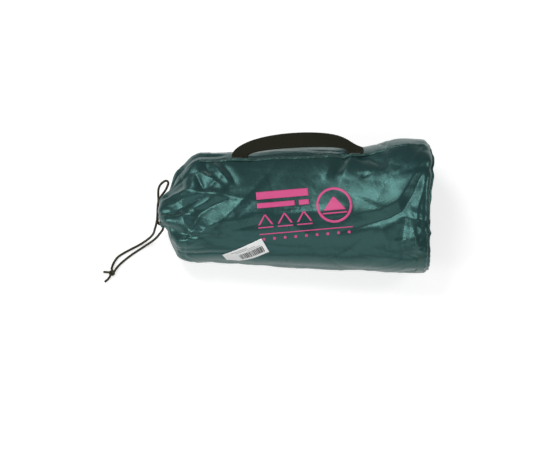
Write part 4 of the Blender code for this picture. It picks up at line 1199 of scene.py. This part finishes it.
def cut_corner(along, across):
    """Slides places beyond the label's cut lower-left corner back onto the cut."""
    past = max((-along - 0.0150) / 0.0140 + (across - 0.0005) / 0.0105 - 1.0, 0.0)
    return along + past * 0.0140 * 0.5, across - past * 0.0105 * 0.5


def make_label(sack, paper, ink, grey):
    """The paper sticker with plain bars and rules that encode nothing."""
    sheet = LabelSheet(sack)
    make_piece("paper_label", *patch(lambda down, across: sheet.point(
        *cut_corner(LABEL_LENGTH * (across - 0.5), LABEL_WIDTH * (down - 0.5))), 22, 58, flip=True),
        paper, "label", "label", wall=0.00014, outward=1.0)

    def print_boxes(name, boxes, material):
        make_piece(name, *join(patch(
            lambda down, across: sheet.point(lerp(left, right, across), lerp(top, bottom, down),
                                             LABEL_INK_LIFT),
            max(round((bottom - top) / LABEL_CELL), 1), max(round((right - left) / LABEL_CELL), 1), flip=True)
            for left, right, top, bottom in boxes), material, "label", wall=0.00004, outward=1.0)

    chance = random.Random(3)
    bars, along = [], -0.0100
    while along < 0.0245:
        width = chance.choice((0.0004, 0.0004, 0.0008, 0.0012))
        bars.append((along, along + width, -0.0012, 0.0078))
        along += width + chance.choice((0.0004, 0.0006, 0.0008))
    print_boxes("label_bars", bars, ink)
    print_boxes("label_rules", [(-0.0180, 0.0060, -0.0078, -0.0070), (-0.0120, 0.0160, -0.0054, -0.0047),
                                (0.0040, 0.0225, -0.0032, -0.0026)], grey)


def make_print(sack, material):
    """A generic print: headline bars, a round badge with a pitched tarp, and rows of plain marks."""
    slant, to_camera, patches = radians(PRINT_SLANT), Vector(TO_CAMERA), []

    def on_cloth(u, v):
        """From print coordinates in pixels, right and down from its centre, to the cloth."""
        column = PRINT_CENTRE[0] + u * cos(slant) - v * sin(slant)
        row = PRINT_CENTRE[1] + u * sin(slant) + v * cos(slant)
        start = Vector(PICTURE_UP) * ((PIXEL_Y0 - row) / PIXELS_PER_METRE) + to_camera * 0.4
        start.x = (column - PIXEL_X0) / PIXELS_PER_METRE
        hit, normal, _, _ = sack.tree.ray_cast(start, -to_camera, 1.0)
        return hit + normal * copysign(INK_LIFT, normal.dot(to_camera))

    def cells(length, least=1):
        return max(round(length / PRINT_CELL), least)

    def add(shape, rows, columns):
        patches.append(patch(lambda down, across: on_cloth(*shape(down, across)), rows, columns))

    def quad(a, b, c, d):
        """A patch between four corners, a to b along the top and d to c along the bottom."""
        add(lambda down, across: (lerp(lerp(a[axis], b[axis], across), lerp(d[axis], c[axis], across), down)
                                  for axis in (0, 1)),
            cells(max(dist(a, d), dist(b, c))), cells(max(dist(a, b), dist(d, c))))

    def bar(left, right, top, bottom):
        quad((left, top), (right, top), (right, bottom), (left, bottom))

    def ring(x, y, inner, outer):
        def shape(out, turn):
            radius = lerp(inner, outer, out)
            return x + radius * cos(2 * pi * turn), y + radius * sin(2 * pi * turn)
        add(shape, cells(outer - inner), cells(2 * pi * outer, 6))

    bar(-45.0, 6.0, -22.0, -14.5)
    bar(-45.0, -8.0, -11.0, -6.0)
    bar(-4.0, 6.0, -11.0, -6.0)
    x, y = 30.0, -3.0
    ring(x, y, 15.0, 17.4)
    quad((x - 0.7, y - 8.0), (x + 0.7, y - 8.0), (x + 11.0, y + 5.0), (x - 11.0, y + 5.0))
    bar(x - 12.0, x + 12.0, y + 7.0, y + 8.4)
    for x in (-38.0, -19.0, 0.0):
        quad((x - 0.8, 0.5), (x + 0.8, 0.5), (x - 5.4, 10.5), (x - 7.6, 10.5))
        quad((x - 0.8, 0.5), (x + 0.8, 0.5), (x + 7.6, 10.5), (x + 5.4, 10.5))
        bar(x - 7.6, x + 7.6, 12.4, 13.6)
    bar(-45.0, 46.0, 19.0, 20.0)
    for number in range(9):
        ring(-41.0 + number * 10.4, 24.4, 0.2, 1.5)
    make_piece("pink_print", *join(patches), material, "label", wall=0.00006, outward=1.0)


# Contents -----------------------------------------------------------------------------------------

def make_roll(material):
    """The tarp, folded to a band of many layers and wound up, with its folds showing at both ends."""
    steps, folds = round(ROLL_TURNS * 44), 18
    profile, vertices = [], []
    for side, end_x in ((1.0, ROLL_START_X), (-1.0, ROLL_START_X + ROLL_LENGTH)):
        profile += [(end_x + side * ROLL_LENGTH * (1.0 - share), side) for share in shares(14)]
        profile += [(end_x + side * 0.0010 * (1.0 - abs(sin(pi * fold / 3))),
                     side * (1.0 - 2.0 * fold / folds)) for fold in range(1, folds)]

    def middle(turns):
        angle = 2 * pi * (turns - ROLL_TURNS) + radians(ROLL_END_ANGLE)
        radius = ROLL_CORE_RADIUS + ROLL_TURN_PITCH * turns
        return Vector((0.0, ROLL_Y + (radius + ROLL_CORE_FLATNESS) * cos(angle),
                       ROLL_Z + radius * sin(angle)))

    for share in shares(steps):
        turns = ROLL_TURNS * share
        place = middle(turns)
        heading = (middle(turns + 0.01) - middle(turns - 0.01)).normalized()
        out = Vector((0.0, heading.z, -heading.y))
        for x, side in profile:
            ripple = 0.00022 * noise.noise(Vector((x * 45.0, place.y * 60.0, place.z * 60.0)))
            vertices.append(place + out * (side * ROLL_FOLD_THICKNESS / 2 * 0.97 + ripple)
                            + Vector((x, 0.0, 0.0)))
    piece = make_piece("rolled_tarp", vertices, grid_faces(steps + 1, len(profile), ends=True), material,
                       "tarp_cloth", "tarp_roll", uv=grid_uv(len(profile), 0.004, 0.018))


def rounded_outline(half_across, half_along, corner, steps=6):
    outline = []
    for quarter, (side, end) in enumerate(((1, 1), (-1, 1), (-1, -1), (1, -1))):
        for share in shares(steps):
            angle = radians(90.0 * (quarter + share))
            outline.append((side * (half_across - corner) + corner * cos(angle),
                            end * (half_along - corner) + corner * sin(angle)))
    return outline


def make_corner_loops(material, thread):
    """Webbing loops with a worked eye and a stitched box, lying on the roll as in the solids."""
    outer = rounded_outline(LOOP_WIDTH / 2, LOOP_LENGTH / 2, 0.003)
    eye = LOOP_LENGTH / 2 - LOOP_EYE_MARGIN - LOOP_EYE_LENGTH / 2
    inner = [(x, y + eye) for x, y in rounded_outline(LOOP_EYE_WIDTH / 2, LOOP_EYE_LENGTH / 2, 0.002)]
    half = LOOP_THICKNESS / 2
    top = ROLL_Z + (ROLL_CORE_RADIUS + ROLL_TURN_PITCH * ROLL_TURNS) * sin(radians(ROLL_END_ANGLE))
    height = top + ROLL_FOLD_THICKNESS / 2 + GAP + half
    # Each ring: its outline, that outline's middle, its scale and its level
    rings = [(outer, 0.0, 1.0, half * 0.5), (outer, 0.0, 0.985, half), (inner, eye, 1.03, half),
             (inner, eye, 1.0, half * 0.5)]
    rings += [(outline, middle, scale, -level) for outline, middle, scale, level in reversed(rings)]
    low = ROLL_START_X + LOOP_END_MARGIN
    high = ROLL_START_X + ROLL_LENGTH - LOOP_END_MARGIN
    for number, x in enumerate((low, low + LOOP_PAIR_PITCH, high - LOOP_PAIR_PITCH, high), 1):
        vertices = [(x + across * scale, ROLL_Y + middle + (along - middle) * scale, height + level)
                    for outline, middle, scale, level in rings for across, along in outline]
        make_piece("corner_loop_%d" % number, vertices, grid_faces(8, len(outer), flip=True, looped=True),
                   material, "webbing", "tarp_corner_loop_%d" % number, uv=lambda _, point: point.xy)
        stitches("corner_loop_thread_%d" % number,
                 [(Vector((x + across, ROLL_Y - 0.0125 + 0.0018 * step, height + half)), Vector((0, 1, 0)),
                   Vector((0, 0, 1))) for step in range(7) for across in (-0.0065, 0.0065)],
                 0.0013, 0.00022, thread)


def make_pouch(material):
    """The peg pouch, a crumpled sleeve with one soft closed-in end."""
    room = PEG_DIAMETER / 2 + POUCH_SPACE + POUCH_WALL
    half_across, half_up = PEG_HOOK_RADIUS + room, (PEG_COUNT - 1) * PEG_PITCH / 2 + room
    outline = rounded_outline(half_across, half_up, POUCH_CORNER, 10)
    end_x = POUCH_START_X + PEG_LENGTH + 2 * POUCH_END_SPACE
    stations = [(end_x - back, share) for back, share in POUCH_END]
    stations += [(lerp(stations[-1][0], POUCH_START_X, share), 1.0) for share in shares(90)[1:]]
    vertices = []
    for x, share in stations:
        for across, up in outline:
            crumple = 0.0007 * noise.noise(Vector((x * 60.0, across * 110.0, up * 110.0)))
            size = share + crumple / half_across
            vertices.append((x, POUCH_Y + across * size, POUCH_Z + up * size))
    make_piece("peg_sleeve", vertices, grid_faces(len(stations), len(outline)), material, "taffeta",
               "peg_pouch", wall=0.0005,
               uv=lambda loop, point: (point.x - SHIFT.x, loop.vertex_index % len(outline) * 0.003))


def winding_place(turn):
    """The half width and the level of one turn: outer and inner turns alternate, layer by layer."""
    layer, odd = divmod(turn, 2)
    inner = odd if layer % 2 == 0 else 1 - odd
    return ((HANK_WIDTH - GUY_LINE_DIAMETER) / 2 - inner * GUY_LINE_DIAMETER,
            (layer - (HANK_LAYERS - 1) / 2) * GUY_LINE_DIAMETER)


def hank_route(level):
    """One guy line: wound round and round its hank, then out along its free run through the slider."""
    straight = (HANK_LENGTH - HANK_WIDTH) / 2
    turns, per_turn, points = 2 * HANK_LAYERS, 44, []
    for step in range(turns * per_turn + 1):
        turn = step / per_turn
        settled = min(int(turn), turns - 1)
        change = ease(0.78, 1.0, turn - settled)
        radius, rise = (lerp(here, after, change) for here, after in
                        zip(winding_place(settled), winding_place(min(settled + 1, turns - 1))))
        angle = pi / 2 - 2 * pi * turn
        along = straight * max(min(sin(angle) * 2.2, 1.0), -1.0) + radius * sin(angle)
        drawn_in = 1.0 - HANK_WAIST_PINCH * exp(-(along / 0.013) ** 2)
        points.append(Vector((HANK_X + radius * cos(angle) * drawn_in, along, level + rise)))
    side_x = HANK_X + HANK_WIDTH / 2
    run_x = side_x + RUN_OFFSET
    points += [(HANK_X + 0.0065, straight + 0.0068, lerp(points[-1].z, level, 0.6)),
               (run_x - 0.0030, straight + 0.0012, level), (run_x, straight - RUN_OFFSET, level),
               (run_x, 0.0, level), (run_x, -straight + RUN_OFFSET, level),
               (run_x - 0.0028, -straight - 0.0010, level), (side_x + 0.0008, -straight - 0.0040, level)]
    return smooth_route(points, 0.0009)


def make_guy_lines(material, tie_material):
    """Four guy lines, each wound into a hank, tied at its waist, with a free run through its slider."""
    for number in range(1, GUY_LINE_COUNT + 1):
        level = HANK_Z + (number - (GUY_LINE_COUNT + 1) / 2) * HANK_PITCH
        points = hank_route(level)
        line = braid(points, GUY_LINE_DIAMETER, strands=6, pitch=0.006, relief=0.07, sides=8)
        piece = make_piece("guy_line_%d" % number, *line, material, "cord",
                           "guy_line_hank_%d" % number, "guy_line_run_%d" % number)
        across, up = HANK_WAIST / 2 + 0.0003, HANK_LAYERS * GUY_LINE_DIAMETER / 2 + 0.0006
        ring = [Vector((HANK_X + across * cos(2 * pi * turn), -0.0016 + 0.0016 * turn / 1.5,
                        level + up * sin(2 * pi * turn))) for turn in (step / 30 for step in range(91))]
        make_piece("guy_line_tie_%d" % number, *braid(ring, 0.0012, strands=6, relief=0.06, sides=8),
                   tie_material, "cord")


def dress_solids(steel, plastic):
    """The pegs and the line sliders keep their solids and get finer materials."""
    for prefix, material, count in (("peg_", steel, PEG_COUNT), ("line_slider_", plastic, GUY_LINE_COUNT)):
        for number in range(1, count + 1):
            for slot in bpy.data.objects[prefix + str(number)].material_slots:
                slot.material = material


# Studio -------------------------------------------------------------------------------------------

def make_floor(half=6.0, level=-0.0002):
    """White ground that the camera sees brighter than the cloth does."""
    mesh = bpy.data.meshes.new("floor")
    mesh.from_pydata([(-half, -half, level), (half, -half, level), (half, half, level),
                      (-half, half, level)], [], [(0, 1, 2, 3)])
    floor = bpy.data.objects.new("floor", mesh)
    bpy.context.scene.collection.objects.link(floor)
    nodes = Nodes("floor_white")
    rays = nodes.add("LightPath").outputs
    plain = nodes.maths("ADD", rays["Is Camera Ray"], rays["Is Glossy Ray"])
    plain = nodes.maths("MINIMUM", nodes.maths("ADD", plain, rays["Is Transmission Ray"]), 1.0)
    mesh.materials.append(nodes.finish(
        Base_Color=nodes.mix(plain, (0.36, 0.36, 0.36), (0.62, 0.62, 0.62)), Roughness=0.9,
        Specular_IOR_Level=0.1, Emission_Color=(1.0, 1.0, 1.0), Emission_Strength=nodes.times(plain, 0.64)))


def make_lights():
    """An even white world and the soft boxes."""
    world = bpy.data.worlds.new("studio")
    bpy.context.scene.world = world
    world.use_nodes = True
    world.node_tree.nodes["Background"].inputs["Color"].default_value = (1.0, 1.0, 1.0, 1.0)
    world.node_tree.nodes["Background"].inputs["Strength"].default_value = WORLD_LEVEL
    for name, toward, share, side in SOFT_BOXES:
        light = bpy.data.lights.new(name, "AREA")
        light.shape = "SQUARE"
        light.size = side
        light.energy = share * (pi * SOFT_BOX_DISTANCE) ** 2
        lamp = bpy.data.objects.new(name, light)
        lamp.location = Vector(toward).normalized() * SOFT_BOX_DISTANCE + Vector((0.0, 0.0, 0.05))
        lamp.rotation_euler = Vector(toward).to_track_quat("Z", "Y").to_euler()
        bpy.context.scene.collection.objects.link(lamp)
    bpy.context.scene.view_settings.view_transform = "Standard"


make_camera()
make_drawcord(cord_material("drawcord_braid", CORD_OLIVE))
SACK = Sack()
# all the sack's taffeta carries the painted bounce light on its low side
TAFFETA = taffeta_material("taffeta", TEAL, TEAL_PAINTED_BOUNCE)
# seams, hem and binding carry a 0.25 share of painted highlight
TAFFETA_PAINTED_HIGHLIGHT = taffeta_material("taffeta_edge_painted_highlight", TEAL, TEAL_PAINTED_BOUNCE, 0.25)
WEBBING = webbing_material("webbing", WEBBING_BROWN)
TEAL_THREAD = cord_material("teal_thread", THREAD_TEAL)
SACK.make(TAFFETA)
# the base disc carries a 0.15 share of painted highlight as well as the painted bounce light
SACK.make_base(taffeta_material("taffeta_base", TEAL, TEAL_PAINTED_BOUNCE, 0.15))
SACK.make_rim_seam(TAFFETA_PAINTED_HIGHLIGHT)
SACK.make_inner_tape(TAFFETA_PAINTED_HIGHLIGHT)
make_hem(TAFFETA_PAINTED_HIGHLIGHT)
make_side_seam(SACK, TAFFETA_PAINTED_HIGHLIGHT, TEAL_THREAD)
make_strap(WEBBING, cord_material("dark_thread", THREAD_DARK))
make_label(SACK, paper_material("label_paper", LABEL_WHITE), print_material("label_ink", LABEL_INK),
           print_material("label_grey", LABEL_GREY))
make_print(SACK, print_material("pink_ink", PRINT_PINK))
make_roll(taffeta_material("tarp_cloth", TARP_TEAL, TARP_TEAL))
make_corner_loops(WEBBING, TEAL_THREAD)
make_pouch(TAFFETA)
make_guy_lines(cord_material("guy_line", GUY_LINE_BLACK), cord_material("hank_tie", THREAD_DARK))
dress_solids(metal_material("peg_steel", STEEL), plastic_material("slider_plastic", SLIDER_BLACK))
make_floor()
make_lights()
